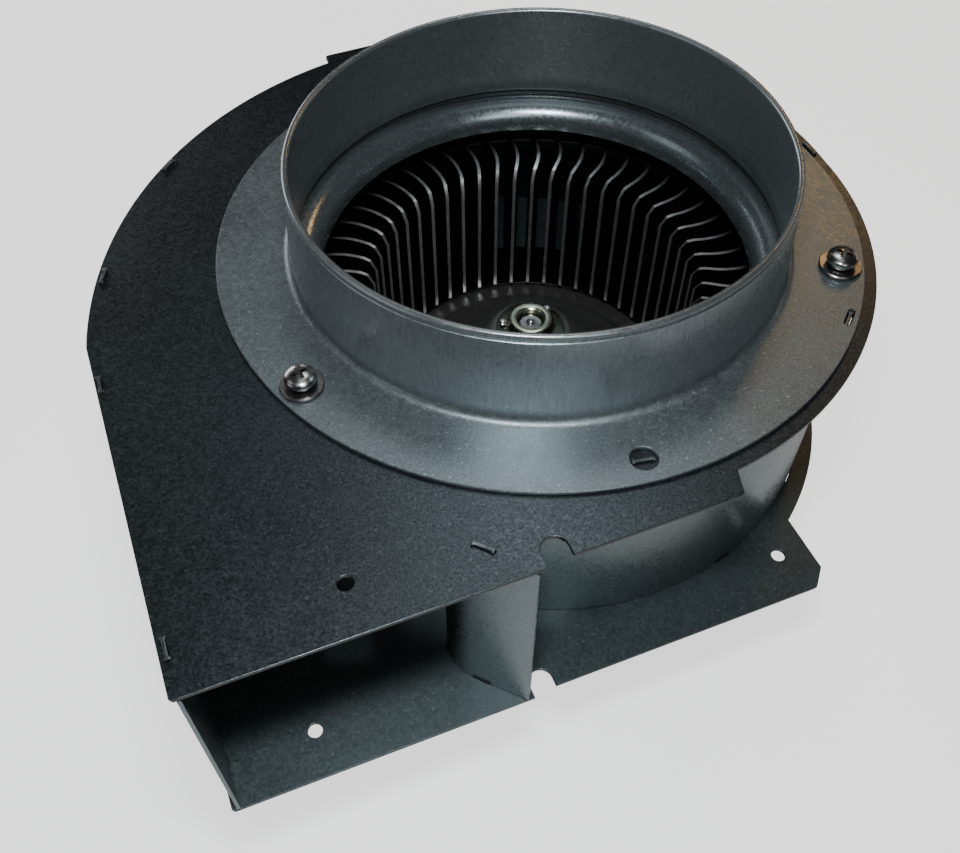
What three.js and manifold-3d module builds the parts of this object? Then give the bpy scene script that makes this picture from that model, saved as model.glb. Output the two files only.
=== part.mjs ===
// Combustion fan: a single-inlet centrifugal blower in tab-and-slot sheet steel.
// The inlet faces up, the outlet faces -Y, and the motor hangs under the case.
// Millimetres, +Z up. The origin is the centre of the motor's end face, on the shaft axis.
import * as THREE from "three";
import { mergeVertices } from "three/addons/utils/BufferGeometryUtils.js";
import Module from "manifold-3d";

const wasm = await Module();
wasm.setup();

// ---- driving dimensions ----

const GAP = 0.3; // between pieces that touch
const SHEET = 1.2; // case plates and spigot
const WALL = 1.0; // scroll wall
const MOTOR_DROP = 60; // motor end face to the underside of the motor-side plate
const CASE_DEPTH = 72.8; // between the two plates

const MOTOR_PLATE_Z = MOTOR_DROP;
const FLOOR_Z = MOTOR_PLATE_Z + SHEET; // inner face of the motor-side plate
const CEILING_Z = FLOOR_Z + CASE_DEPTH; // inner face of the inlet-side plate
const TOP_Z = CEILING_Z + SHEET; // outer face of the inlet-side plate

// Scroll: the wall's radius grows from the tongue round to the outlet's left side.
const SCROLL_START_DEG = -120;
const SCROLL_END_DEG = 180;
const SCROLL_STEP_DEG = 7.5;
const SCROLL_RADIUS = 87;
const SCROLL_GROWTH = [30, -16, 33.4]; // first, second and third order, over the whole turn
const PLATE_MARGIN = 2; // plate edge beyond the wall's middle
const PLATE_MIN_RADIUS = 100.4; // the plates stay this wide, to carry the spigot flange

// Outlet
const OUTLET_Y = -108.4;
const OUTLET_LEFT_X = -133.6;
const OUTLET_RIGHT_X = -46.5;
const FOOT_EDGE_Y = -107.2; // front edge of the plates beside the outlet
const TONGUE_LEAN_DEG = 133.2; // direction of the tongue's straight side
const TONGUE_SIDE = 18.3;
const TONGUE_RADIUS = 12.4;
const NOTCH = { x: -40.9, y: -104.1, radius: 3.65 };

// Plate corners at the front right, from the front edge to where the round edge starts.
const INLET_PLATE_CORNER = [[9.4, FOOT_EDGE_Y], [11.6, -99.7]];
const MOTOR_PLATE_CORNER = [[52.4, FOOT_EDGE_Y], [57.3, -101.6], [57.3, -82.4]];
const BACK_EAR = { left: -31.5, right: 14, back: 117 };
const SCREW_HOLE = 2.2;
const INLET_PLATE_HOLES = [[-90.5, -94.4]];
const MOTOR_PLATE_HOLES = [[-107.6, -94.3], [47, -92.8]];

// Lock tabs
const TAB_LENGTH = 6;
const TAB_REACH = 1.8; // beyond the plate's outer face
const TAB_CLEARANCE = 0.4;
const ROUND_TABS_DEG = [-45, 2, 48, 95, 142, 166];
const INLET_TAB_DEG = -96;
const MOTOR_TAB_DEG = -71;
const LEFT_TABS_Y = [-11, -95.7];
const TONGUE_TAB_AT = 15; // along the tongue's straight side

// Inlet spigot and bell mouth
const COLLAR_RADIUS = 74.4; // outside, at its foot
const RIM_RADIUS = 72.6; // outside, at the rim: the collar tapers a little
const COLLAR_HEIGHT = 32; // above the inlet-side plate
const COLLAR_FILLET = 2.5;
const FLANGE_RADIUS = 96.6;
const FLANGE_TAB_HOLE = 3.7;
const BELL_THROAT_RADIUS = 66.2;
const BELL_ROLL = 7.5;
const BELL_SHEET = 1;
const BELL_FLANGE_RADIUS = 84;

// Flange screws, M4
const SCREW_CIRCLE = 89.5;
const SCREW_DEGS = [-158.4, -32.5, 84.5];
const SCREW = { shank: 2, head: 4, headHeight: 2.6, below: 8 };
const WASHER = { radius: 6.2, thickness: 1 };
const SPRING_WASHER = { radius: 3.8, thickness: 0.9 };

// Impeller
const BLADE_COUNT = 51;
const BLADE_INNER = 50.9;
const BLADE_OUTER = 71.2;
const BLADE_BOW_DEG = 2.1;
const BLADE_SHEET = 0.8;
const BLADE_TOP_Z = TOP_Z - 16.4;
const BLADE_FOOT_Z = TOP_Z - 69.9;
const BLADE_STEPS = 3;
const END_RING = { inner: 70.6, outer: 72, height: 4, below: 1.5 }; // below the blades' top
const FOOT_RING = 1; // thickness of the ring that joins the blades' feet
const DISC_SHEET = 1;
const HUB_RADIUS = 7.2;
const HUB_FOOT_RADIUS = 11.5;
const HUB_TOP_Z = TOP_Z - 36;
const HUB_FOOT_Z = HUB_TOP_Z - 5.2; // underside of the hub's foot
const HUB_BOTTOM_Z = HUB_TOP_Z - 19;
const RIVETS = 3;

// Motor
const SHAFT_RADIUS = 4;
const SHAFT_TOP_Z = HUB_TOP_Z - 2.2;
const MOTOR_RADIUS = 42;
const SHELL_WALL = 3.5;
const NOSE_RADIUS = 17;
const NOSE_TOP_Z = 75;
const NOSE_HOLE = 24; // in the motor-side plate
const UPPER_SHELL_TOP_Z = 54;
const CORE_Z = [16, 42];
const CORE_BORE = 24.3;
const ROTOR_RADIUS = 23.7;
const BEARING = { radius: 11, width: 7 };
const UPPER_BEARING_Z = 66;
const LOWER_BEARING_Z = 3.3;
const BOLT_CIRCLE = 46.5;
const BOLT_DEGS = [45, 135, 225, 315];
const ARM_REACH = 52;
const ARM_DEGS = [0, 120, 240];
const GROMMET = { radius: 8, waist: 5, bore: 2.4 };
const TERMINAL = { x: 55, y: 52, length: 26, width: 14, height: 12 };

// ---- colours ----

const STEEL_DARK = { color: 0x4b565d, roughness: 0.42, metalness: 0.85 };
const STEEL_GREY = { color: 0x67737b, roughness: 0.36, metalness: 0.9 };
const STEEL_BRIGHT = { color: 0xaab0b4, roughness: 0.28, metalness: 1.0 };
const ZINC_YELLOW = { color: 0xb9b48a, roughness: 0.3, metalness: 0.95 };
const CORE_STEEL = { color: 0x3d4044, roughness: 0.6, metalness: 0.7 };
const CAST_ALUMINIUM = { color: 0xa7a9aa, roughness: 0.55, metalness: 0.8 };
const COPPER = { color: 0x9a4f22, roughness: 0.4, metalness: 0.6 };
const RUBBER = { color: 0x1b1b1c, roughness: 0.85, metalness: 0.0 };
const PLASTIC = { color: 0xd8d5c8, roughness: 0.5, metalness: 0.0 };
const BRASS = { color: 0xb58d3c, roughness: 0.35, metalness: 1.0 };

// ---- helpers ----

const radians = THREE.MathUtils.degToRad;

function polar(radius, degrees) {
  return new THREE.Vector2(radius * Math.cos(radians(degrees)), radius * Math.sin(radians(degrees)));
}

// A closed three.js geometry as a solid: shared vertices are merged and collapsed triangles dropped.
function solid(geometry) {
  const bare = geometry.clone();
  bare.deleteAttribute("normal");
  bare.deleteAttribute("uv");
  const merged = mergeVertices(bare, 1e-4);
  const index = merged.index.array;
  const kept = [];
  for (let i = 0; i < index.length; i += 3) {
    const [a, b, c] = [index[i], index[i + 1], index[i + 2]];
    if (a !== b && b !== c && c !== a) {
      kept.push(a, b, c);
    }
  }
  const vertProperties = new Float32Array(merged.attributes.position.array);
  return new wasm.Manifold(new wasm.Mesh({ numProp: 3, vertProperties, triVerts: new Uint32Array(kept) }));
}

function join(solids) {
  return solids.reduce((sum, next) => sum.add(next));
}

function cut(body, tools) {
  return tools.reduce((left, tool) => left.subtract(tool), body);
}

// A flat outline pulled straight up from z0 to z1.
function prism(points, z0, z1) {
  const shape = new THREE.Shape(points.map((p) => (Array.isArray(p) ? new THREE.Vector2(...p) : p)));
  const geometry = new THREE.ExtrudeGeometry(shape, { depth: z1 - z0, bevelEnabled: false });
  return solid(geometry.translate(0, 0, z0));
}

// A closed profile of [radius, z] points, listed counter-clockwise, turned about the Z axis.
function revolve(profile, segments) {
  const points = [...profile, profile[0]].map(([r, z]) => new THREE.Vector2(r, z));
  return solid(new THREE.LatheGeometry(points, segments).rotateX(Math.PI / 2));
}

function ring(inner, outer, z0, z1, segments) {
  return revolve([[inner, z0], [outer, z0], [outer, z1], [inner, z1]], segments);
}

function rod(radius, z0, z1, segments = 24, at = [0, 0]) {
  const geometry = new THREE.CylinderGeometry(radius, radius, z1 - z0, segments);
  return solid(geometry.rotateX(Math.PI / 2).translate(at[0], at[1], (z0 + z1) / 2));
}

function block(size, centre, turnDeg = 0) {
  const geometry = new THREE.BoxGeometry(...size);
  return solid(geometry.rotateZ(radians(turnDeg)).translate(...centre));
}

function arc(centre, radius, fromDeg, toDeg, steps) {
  const points = [];
  for (let i = 0; i <= steps; i += 1) {
    const degrees = fromDeg + ((toDeg - fromDeg) * i) / steps;
    points.push(polar(radius, degrees).add(new THREE.Vector2(...centre)));
  }
  return points;
}

const group = new THREE.Group();

function part(name, body, look, at = [0, 0, 0]) {
  const mesh = body.getMesh();
  const geometry = new THREE.BufferGeometry();
  geometry.setAttribute("position", new THREE.BufferAttribute(new Float32Array(mesh.vertProperties), 3));
  geometry.setIndex(new THREE.BufferAttribute(new Uint32Array(mesh.triVerts), 1));
  geometry.computeVertexNormals();
  const item = new THREE.Mesh(geometry, new THREE.MeshStandardMaterial(look));
  item.name = name;
  item.position.set(...at);
  group.add(item);
}

// ---- scroll case ----

function scrollRadius(degrees) {
  const s = (degrees - SCROLL_START_DEG) / (SCROLL_END_DEG - SCROLL_START_DEG);
  return SCROLL_RADIUS + SCROLL_GROWTH.reduce((sum, growth, i) => sum + growth * s ** (i + 1), 0);
}

function scrollPoint(degrees, margin = 0) {
  return polar(scrollRadius(degrees) + margin, degrees);
}

// Middle line of the wall: outlet's right edge, tongue, scroll, outlet's left edge.
function wallLine() {
  const lean = polar(1, TONGUE_LEAN_DEG);
  const start = new THREE.Vector2(OUTLET_RIGHT_X, OUTLET_Y);
  const bend = start.clone().addScaledVector(lean, TONGUE_SIDE);
  const centre = bend.clone().add(polar(TONGUE_RADIUS, TONGUE_LEAN_DEG - 90));
  const line = [start];
  const turnEnd = 60;
  line.push(...arc([centre.x, centre.y], TONGUE_RADIUS, TONGUE_LEAN_DEG + 90, turnEnd, 8));
  const step = SCROLL_STEP_DEG;
  for (let degrees = SCROLL_START_DEG + step; degrees <= SCROLL_END_DEG; degrees += step) {
    line.push(scrollPoint(degrees));
  }
  line.push(new THREE.Vector2(OUTLET_LEFT_X, OUTLET_Y));
  return line;
}

// Both faces of a strip that follows a line.
function stripOutline(line, thickness) {
  const sides = [[], []];
  line.forEach((point, i) => {
    const before = line[Math.max(i - 1, 0)];
    const after = line[Math.min(i + 1, line.length - 1)];
    const along = after.clone().sub(before).normalize();
    const across = new THREE.Vector2(-along.y, along.x).multiplyScalar(thickness / 2);
    sides[0].push(point.clone().add(across));
    sides[1].unshift(point.clone().sub(across));
  });
  return [...sides[0], ...sides[1]];
}

// Where the wall's lock tabs stand, with the wall's direction there.
function tabPlaces(extraDeg) {
  const lean = polar(TONGUE_TAB_AT, TONGUE_LEAN_DEG);
  const places = [{ at: [OUTLET_RIGHT_X + lean.x, OUTLET_Y + lean.y], turn: TONGUE_LEAN_DEG }];
  for (const degrees of [extraDeg, ...ROUND_TABS_DEG]) {
    const along = scrollPoint(degrees + 1).sub(scrollPoint(degrees - 1));
    const here = scrollPoint(degrees);
    places.push({ at: [here.x, here.y], turn: THREE.MathUtils.radToDeg(along.angle()) });
  }
  const top = scrollPoint(SCROLL_END_DEG);
  const bottom = new THREE.Vector2(OUTLET_LEFT_X, OUTLET_Y);
  for (const y of LEFT_TABS_Y) {
    const here = top.clone().lerp(bottom, (y - top.y) / (bottom.y - top.y));
    places.push({ at: [here.x, here.y], turn: 90 });
  }
  return places;
}

const INLET_TABS = tabPlaces(INLET_TAB_DEG);
const MOTOR_TABS = tabPlaces(MOTOR_TAB_DEG);

function tabBlocks(places, length, thickness, z0, z1) {
  return places.map(({ at, turn }) => block([length, thickness, z1 - z0], [...at, (z0 + z1) / 2], turn));
}

function scrollWall() {
  const band = prism(stripOutline(wallLine(), WALL), FLOOR_Z + GAP, CEILING_Z - GAP);
  const root = 2;
  const upper = tabBlocks(INLET_TABS, TAB_LENGTH, WALL, CEILING_Z - root, TOP_Z + TAB_REACH);
  const lower = tabBlocks(MOTOR_TABS, TAB_LENGTH, WALL, MOTOR_PLATE_Z - TAB_REACH, FLOOR_Z + root);
  return join([band, ...upper, ...lower]);
}

// Outline of a case plate, with its own corner at the front right.
function plateOutline(corner) {
  const leftX = OUTLET_LEFT_X - PLATE_MARGIN;
  const points = [[leftX, OUTLET_Y], [NOTCH.x, OUTLET_Y], [NOTCH.x, FOOT_EDGE_Y], ...corner];
  const last = corner[corner.length - 1];
  const first = THREE.MathUtils.radToDeg(Math.atan2(last[1], last[0]));
  for (let degrees = first + SCROLL_STEP_DEG; degrees < SCROLL_END_DEG; degrees += SCROLL_STEP_DEG) {
    const radius = Math.max(PLATE_MIN_RADIUS, scrollRadius(degrees) + PLATE_MARGIN);
    const point = polar(radius, degrees);
    points.push([Math.max(point.x, leftX), point.y]);
  }
  points.push([leftX, 0]);
  return points;
}

function casePlate(corner, holes, tabs, z0) {
  const z1 = z0 + SHEET;
  const ear = [
    [BACK_EAR.left, 90],
    [BACK_EAR.right, 90],
    [BACK_EAR.right, BACK_EAR.back],
    [BACK_EAR.left, BACK_EAR.back],
  ];
  const sheet = join([prism(plateOutline(corner), z0, z1), prism(ear, z0, z1)]);
  const [low, high] = [z0 - 1, z1 + 1];
  const width = 2 * NOTCH.radius;
  const slots = tabBlocks(tabs, TAB_LENGTH + 2 * TAB_CLEARANCE, WALL + 2 * TAB_CLEARANCE, low, high);
  return cut(sheet, [
    rod(NOTCH.radius, low, high, 20, [NOTCH.x, NOTCH.y]),
    block([width, 10, high - low], [NOTCH.x, NOTCH.y - 5, (low + high) / 2]),
    ...holes.map((at) => rod(SCREW_HOLE, low, high, 12, at)),
    ...slots,
  ]);
}

const SCREW_PLACES = SCREW_DEGS.map((degrees) => polar(SCREW_CIRCLE, degrees).toArray());
const ARM_PLACES = ARM_DEGS.map((degrees) => polar(ARM_REACH, degrees).toArray());

function inletSidePlate() {
  const sheet = casePlate(INLET_PLATE_CORNER, INLET_PLATE_HOLES, INLET_TABS, CEILING_Z);
  return cut(sheet, [
    rod(COLLAR_RADIUS - 0.4, CEILING_Z - 1, TOP_Z + 1, 48),
    ...SCREW_PLACES.map((at) => rod(SCREW.shank + 0.35, CEILING_Z - 1, TOP_Z + 1, 12, at)),
  ]);
}

function motorSidePlate() {
  const sheet = casePlate(MOTOR_PLATE_CORNER, MOTOR_PLATE_HOLES, MOTOR_TABS, MOTOR_PLATE_Z);
  return cut(sheet, [
    rod(NOSE_HOLE, MOTOR_PLATE_Z - 1, FLOOR_Z + 1, 32),
    ...ARM_PLACES.map((at) => rod(SCREW.shank + 0.35, MOTOR_PLATE_Z - 1, FLOOR_Z + 1, 12, at)),
  ]);
}

// ---- inlet ----

function inletSpigot() {
  const [inner, rimInner] = [COLLAR_RADIUS - SHEET, RIM_RADIUS - SHEET];
  const [z0, z1, rim] = [TOP_Z + GAP, TOP_Z + GAP + SHEET, TOP_Z + COLLAR_HEIGHT];
  const centre = [COLLAR_RADIUS + COLLAR_FILLET, z1 + COLLAR_FILLET];
  const fillet = arc(centre, COLLAR_FILLET, 270, 180, 3).map((p) => p.toArray());
  const profile = [[inner, z0], [FLANGE_RADIUS, z0], [FLANGE_RADIUS, z1], ...fillet,
    [RIM_RADIUS, rim - 0.4], [RIM_RADIUS - 0.3, rim], [rimInner + 0.2, rim], [rimInner, rim - 0.3]];
  const tabPlace = INLET_TABS[1].at;
  const edgeTab = INLET_TABS[2];
  return cut(revolve(profile, 48), [
    ...SCREW_PLACES.map((at) => rod(SCREW.shank + 0.35, z0 - 1, z1 + 1, 12, at)),
    rod(FLANGE_TAB_HOLE, z0 - 1, z1 + 1, 16, tabPlace),
    ...tabBlocks([edgeTab], TAB_LENGTH + 1.2, WALL + 1.2, z0 - 1, z1 + 1),
  ]);
}

function inletBellMouth() {
  const top = CEILING_Z - GAP;
  const centre = [BELL_THROAT_RADIUS + BELL_ROLL, top - BELL_ROLL];
  const outside = arc(centre, BELL_ROLL, 90, 180, 4).map((p) => p.toArray());
  const inside = arc(centre, BELL_ROLL - BELL_SHEET, 180, 90, 3).map((p) => p.toArray());
  const lip = centre[1] - 1.5;
  return revolve([
    [BELL_FLANGE_RADIUS, top - BELL_SHEET],
    [BELL_FLANGE_RADIUS, top],
    ...outside,
    [BELL_THROAT_RADIUS, lip],
    [BELL_THROAT_RADIUS + BELL_SHEET, lip],
    ...inside,
  ], 40);
}

// ---- fasteners ----

// A pan-head screw with a cross recess, its head resting on z = 0.
function panHeadScrew(below) {
  const { shank, head, headHeight } = SCREW;
  const profile = [[0, -below], [shank, -below], [shank, 0], [head, 0], [head, headHeight * 0.45],
    [head * 0.8, headHeight * 0.85], [head * 0.4, headHeight], [0, headHeight]];
  const points = profile.map(([r, z]) => new THREE.Vector2(r, z));
  const body = solid(new THREE.LatheGeometry(points, 12).rotateX(Math.PI / 2));
  const slotZ = headHeight - 0.4;
  return cut(body, [block([4.2, 0.9, 1.8], [0, 0, slotZ]), block([0.9, 4.2, 1.8], [0, 0, slotZ])]);
}

function flangeFasteners() {
  const flangeTop = TOP_Z + GAP + SHEET;
  const washerZ = flangeTop + GAP;
  const springZ = washerZ + WASHER.thickness + GAP;
  const headZ = springZ + SPRING_WASHER.thickness + GAP;
  const bore = SCREW.shank + 0.35;
  SCREW_PLACES.forEach((at, i) => {
    const place = [...at, 0];
    const flat = ring(bore, WASHER.radius, washerZ, washerZ + WASHER.thickness, 16);
    const spring = ring(bore, SPRING_WASHER.radius, springZ, springZ + SPRING_WASHER.thickness, 12);
    part(`flange_washer_${i + 1}`, flat, STEEL_BRIGHT, place);
    part(`flange_spring_washer_${i + 1}`, spring, STEEL_BRIGHT, place);
    part(`flange_screw_${i + 1}`, panHeadScrew(SCREW.below), STEEL_BRIGHT, [...at, headZ]);
  });
}

// ---- impeller ----

// A blade is an arc from the inner edge to the outer edge, bowed back in the middle.
function bladeLine() {
  const line = [];
  for (let i = 0; i <= BLADE_STEPS; i += 1) {
    const s = i / BLADE_STEPS;
    const radius = BLADE_INNER + (BLADE_OUTER - BLADE_INNER) * s;
    line.push(polar(radius, -BLADE_BOW_DEG * 4 * s * (1 - s)));
  }
  return line;
}

function bladeCage() {
  const outline = stripOutline(bladeLine(), BLADE_SHEET);
  const ringTop = BLADE_TOP_Z - END_RING.below;
  const parts = [
    ring(BLADE_INNER, BLADE_OUTER, BLADE_FOOT_Z, BLADE_FOOT_Z + FOOT_RING, 51),
    ring(END_RING.inner, END_RING.outer, ringTop - END_RING.height, ringTop, 51),
  ];
  for (let i = 0; i < BLADE_COUNT; i += 1) {
    const turn = (2 * Math.PI * (i + 0.5)) / BLADE_COUNT;
    const turned = outline.map((p) => p.clone().rotateAround(new THREE.Vector2(), turn));
    parts.push(prism(turned, BLADE_FOOT_Z + FOOT_RING / 2, BLADE_TOP_Z - 0.2));
  }
  return join(parts);
}

// The back plate: a flat rim under the blades, a step, and a cone up to the hub's foot.
function backPlate() {
  const rimZ = BLADE_FOOT_Z - GAP;
  const hubZ = HUB_FOOT_Z - GAP;
  const upper = [[BLADE_OUTER, rimZ], [45, rimZ], [40, rimZ + 4], [34, rimZ + 12], [30, rimZ + 15],
    [14, hubZ], [HUB_RADIUS - 0.6, hubZ]];
  const lower = upper.map(([r, z]) => [r, z - DISC_SHEET]).reverse();
  return cut(revolve([...lower, ...upper], 32), rivetPlaces().map((at) => rod(1.3, 60, 110, 8, at)));
}

function rivetPlaces() {
  return Array.from({ length: RIVETS }, (_, i) => polar(9.4, 30 + (360 * i) / RIVETS).toArray());
}

function impellerHub() {
  const bore = SHAFT_RADIUS + 0.3;
  const body = revolve([
    [bore, HUB_BOTTOM_Z],
    [HUB_RADIUS - 1, HUB_BOTTOM_Z],
    [HUB_RADIUS - 1, HUB_FOOT_Z],
    [HUB_FOOT_RADIUS, HUB_FOOT_Z],
    [HUB_FOOT_RADIUS, HUB_FOOT_Z + 0.9],
    [HUB_RADIUS + 0.8, HUB_FOOT_Z + 1.6],
    [HUB_RADIUS, HUB_FOOT_Z + 2.4],
    [HUB_RADIUS, HUB_TOP_Z - 0.5],
    [HUB_RADIUS - 0.5, HUB_TOP_Z],
    [bore + 0.6, HUB_TOP_Z],
    [bore, HUB_TOP_Z - 0.6],
  ], 20);
  const screwHole = rod(1.8, 0, 12, 8);
  return cut(body, [
    ...rivetPlaces().map((at) => rod(1.3, HUB_FOOT_Z - 1, HUB_FOOT_Z + 4, 8, at)),
    screwHole.rotate([0, 90, 0]).translate([0, 0, HUB_BOTTOM_Z + 4]),
  ]);
}

function hubRivets() {
  rivetPlaces().forEach((at, i) => {
    const rivet = join([
      rod(1, HUB_FOOT_Z - 2.4, HUB_FOOT_Z + 2.2, 8),
      rod(1.7, HUB_FOOT_Z - 2.6, HUB_FOOT_Z - 1.6, 8),
      rod(1.7, HUB_FOOT_Z + 1.9, HUB_FOOT_Z + 2.7, 8),
    ]);
    part(`hub_rivet_${i + 1}`, rivet, STEEL_BRIGHT, [...at, 0]);
  });
}

function hubSetScrew() {
  return rod(1.5, 4.3, 6.1, 8).rotate([0, 90, 0]).translate([0, 0, HUB_BOTTOM_Z + 4]);
}

// ---- motor ----

function motorShaft() {
  return rod(SHAFT_RADIUS, LOWER_BEARING_Z + 0.4, SHAFT_TOP_Z, 20);
}

function rotorCore() {
  const bore = SHAFT_RADIUS + 0.3;
  const [low, high] = CORE_Z;
  return join([
    ring(bore, ROTOR_RADIUS, low, high, 24),
    ring(15, 22.4, low - 3, low + 1, 24),
    ring(15, 22.4, high - 1, high + 3, 24),
  ]);
}

function statorCore() {
  const body = ring(CORE_BORE, MOTOR_RADIUS, ...CORE_Z, 24);
  const slots = [];
  for (let i = 0; i < 12; i += 1) {
    const at = polar(CORE_BORE + 2, i * 30 + 15);
    slots.push(block([7, 2.2, 40], [at.x, at.y, (CORE_Z[0] + CORE_Z[1]) / 2], i * 30 + 15));
  }
  return cut(body, slots);
}

function winding(z0, z1) {
  const soft = 2;
  return revolve([[27 + soft, z0], [36 - soft, z0], [36, z0 + soft], [36, z1 - soft],
    [36 - soft, z1], [27 + soft, z1], [27, z1 - soft], [27, z0 + soft]], 20);
}

function bearing(z0) {
  const z1 = z0 + BEARING.width;
  const [inner, outer] = [SHAFT_RADIUS + 0.3, BEARING.radius];
  return ring(inner, outer, z0, z1, 20);
}

function boltEars(z0, z1) {
  return BOLT_DEGS.map((degrees) => {
    const at = polar(BOLT_CIRCLE - 3, degrees);
    return join([
      rod(5, z0, z1, 10, polar(BOLT_CIRCLE, degrees).toArray()),
      block([6, 8, z1 - z0], [at.x, at.y, (z0 + z1) / 2], degrees),
    ]);
  });
}

function boltHoles(z0, z1) {
  return BOLT_DEGS.map((degrees) => rod(2.35, z0, z1, 8, polar(BOLT_CIRCLE, degrees).toArray()));
}

function upperBracket() {
  const [rim, top, seat] = [CORE_Z[1] + GAP, UPPER_SHELL_TOP_Z, BEARING.radius + 0.3];
  const inner = MOTOR_RADIUS - SHELL_WALL;
  const shell = revolve([
    [inner, rim], [MOTOR_RADIUS, rim], [MOTOR_RADIUS, top - 1], [MOTOR_RADIUS - 1, top],
    [NOSE_RADIUS + 2, top], [NOSE_RADIUS, top + 2], [NOSE_RADIUS, NOSE_TOP_Z - 1],
    [NOSE_RADIUS - 1, NOSE_TOP_Z], [6.5, NOSE_TOP_Z],
    [6.5, UPPER_BEARING_Z + BEARING.width + GAP], [seat, UPPER_BEARING_Z + BEARING.width + GAP],
    [seat, top - 3], [inner, top - 3],
  ], 24);
  const arms = ARM_DEGS.map((degrees) => {
    const at = polar(ARM_REACH - 6, degrees);
    return join([
      block([14, 15, 3], [at.x, at.y, top - 1.5], degrees),
      rod(9, top - 3, top, 12, polar(ARM_REACH, degrees).toArray()),
    ]);
  });
  const armHoles = ARM_PLACES.map((at) => rod(GROMMET.waist + GAP, top - 4, top + 1, 12, at));
  return cut(join([shell, ...arms, ...boltEars(rim, rim + 5)]), [...armHoles, ...boltHoles(rim - 1, rim + 6)]);
}

function lowerBracket() {
  const [rim, seat, inner] = [CORE_Z[0] - GAP, BEARING.radius + 0.3, MOTOR_RADIUS - SHELL_WALL];
  const points = [[0, 0], [MOTOR_RADIUS - 1, 0], [MOTOR_RADIUS, 1], [MOTOR_RADIUS, rim], [inner, rim],
    [inner, 3], [14.5, 3], [14.5, 11], [seat, 11], [seat, 3], [0, 3]];
  const profile = points.map(([r, z]) => new THREE.Vector2(r, z));
  const shell = solid(new THREE.LatheGeometry(profile, 24).rotateX(Math.PI / 2));
  return cut(join([shell, ...boltEars(rim - 5, rim)]), boltHoles(rim - 6, rim + 1));
}

function throughBolts() {
  const [headZ, endZ] = [CORE_Z[1] + 5 + 2 * GAP, CORE_Z[0] - 5 - 2];
  BOLT_DEGS.forEach((degrees, i) => {
    const bolt = join([rod(2, endZ, headZ + 1, 8), rod(3.6, headZ, headZ + 3, 12)]);
    part(`motor_through_bolt_${i + 1}`, bolt, STEEL_BRIGHT, [...polar(BOLT_CIRCLE, degrees).toArray(), 0]);
  });
}

function grommet() {
  const { radius, waist, bore } = GROMMET;
  const [low, high] = [UPPER_SHELL_TOP_Z - 3 - GAP, UPPER_SHELL_TOP_Z + GAP];
  const top = MOTOR_PLATE_Z - GAP;
  return revolve([[bore, low - 3], [radius, low - 3], [radius, low], [waist, low], [waist, high],
    [radius, high], [radius, top], [bore, top]], 14);
}

function motorMounts() {
  const nutZ = UPPER_SHELL_TOP_Z - 3 - GAP - 3 - GAP;
  ARM_PLACES.forEach((at, i) => {
    const stud = join([
      rod(SCREW.shank, nutZ - 7, FLOOR_Z + 1.2, 10),
      rod(SCREW.head, FLOOR_Z + GAP, FLOOR_Z + GAP + 1.2, 12),
    ]);
    const nut = cut(
      join([rod(5, nutZ - 1, nutZ, 12), rod(3.9, nutZ - 4.2, nutZ - 0.5, 6)]),
      [rod(2.35, nutZ - 6, nutZ + 1, 10)],
    );
    part(`motor_grommet_${i + 1}`, grommet(), RUBBER, [...at, 0]);
    part(`motor_stud_${i + 1}`, stud, STEEL_BRIGHT, [...at, 0]);
    part(`motor_nut_${i + 1}`, nut, STEEL_BRIGHT, [...at, 0]);
  });
}

function terminalBlock() {
  const { x, y, length, width, height } = TERMINAL;
  const top = MOTOR_PLATE_Z - GAP;
  const body = block([length, width, height], [0, 0, top - height / 2]);
  const wells = [];
  for (const shift of [-8, 0, 8]) {
    wells.push(block([5, 6, 6], [shift, -width / 2, top - height + 5]));
    wells.push(rod(2.2, top - height - 1, top - height + 4, 8, [shift, 2.5]));
  }
  part("terminal_block", cut(body, wells), PLASTIC, [x, y, 0]);
  [-8, 0, 8].forEach((shift, i) => {
    const screw = rod(1.8, top - height + 1, top - height + 3.7, 8);
    part(`terminal_screw_${i + 1}`, screw, BRASS, [x + shift, y + 2.5, 0]);
  });
}

// ---- assembly ----

part("motor_side_plate", motorSidePlate(), STEEL_GREY);
part("scroll_wall", scrollWall(), STEEL_GREY);
part("inlet_side_plate", inletSidePlate(), STEEL_DARK);
part("inlet_bell_mouth", inletBellMouth(), STEEL_GREY);
part("inlet_spigot", inletSpigot(), STEEL_GREY);
flangeFasteners();

part("impeller_blade_cage", bladeCage(), STEEL_BRIGHT);
part("impeller_back_plate", backPlate(), STEEL_GREY);
part("impeller_hub", impellerHub(), ZINC_YELLOW);
hubRivets();
part("hub_set_screw", hubSetScrew(), STEEL_BRIGHT);
part("motor_shaft", motorShaft(), STEEL_BRIGHT);
part("rotor_core", rotorCore(), CORE_STEEL);

part("stator_core", statorCore(), CORE_STEEL);
part("upper_winding", winding(CORE_Z[1] + GAP, UPPER_SHELL_TOP_Z - 3.5), COPPER);
part("lower_winding", winding(5, CORE_Z[0] - GAP), COPPER);
part("upper_bearing", bearing(UPPER_BEARING_Z), STEEL_BRIGHT);
part("lower_bearing", bearing(LOWER_BEARING_Z), STEEL_BRIGHT);
part("motor_upper_bracket", upperBracket(), CAST_ALUMINIUM);
part("motor_lower_bracket", lowerBracket(), CAST_ALUMINIUM);
throughBolts();
motorMounts();
terminalBlock();

export default group;
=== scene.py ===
import math

import bmesh
import bpy
from mathutils import Matrix, Vector


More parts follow.
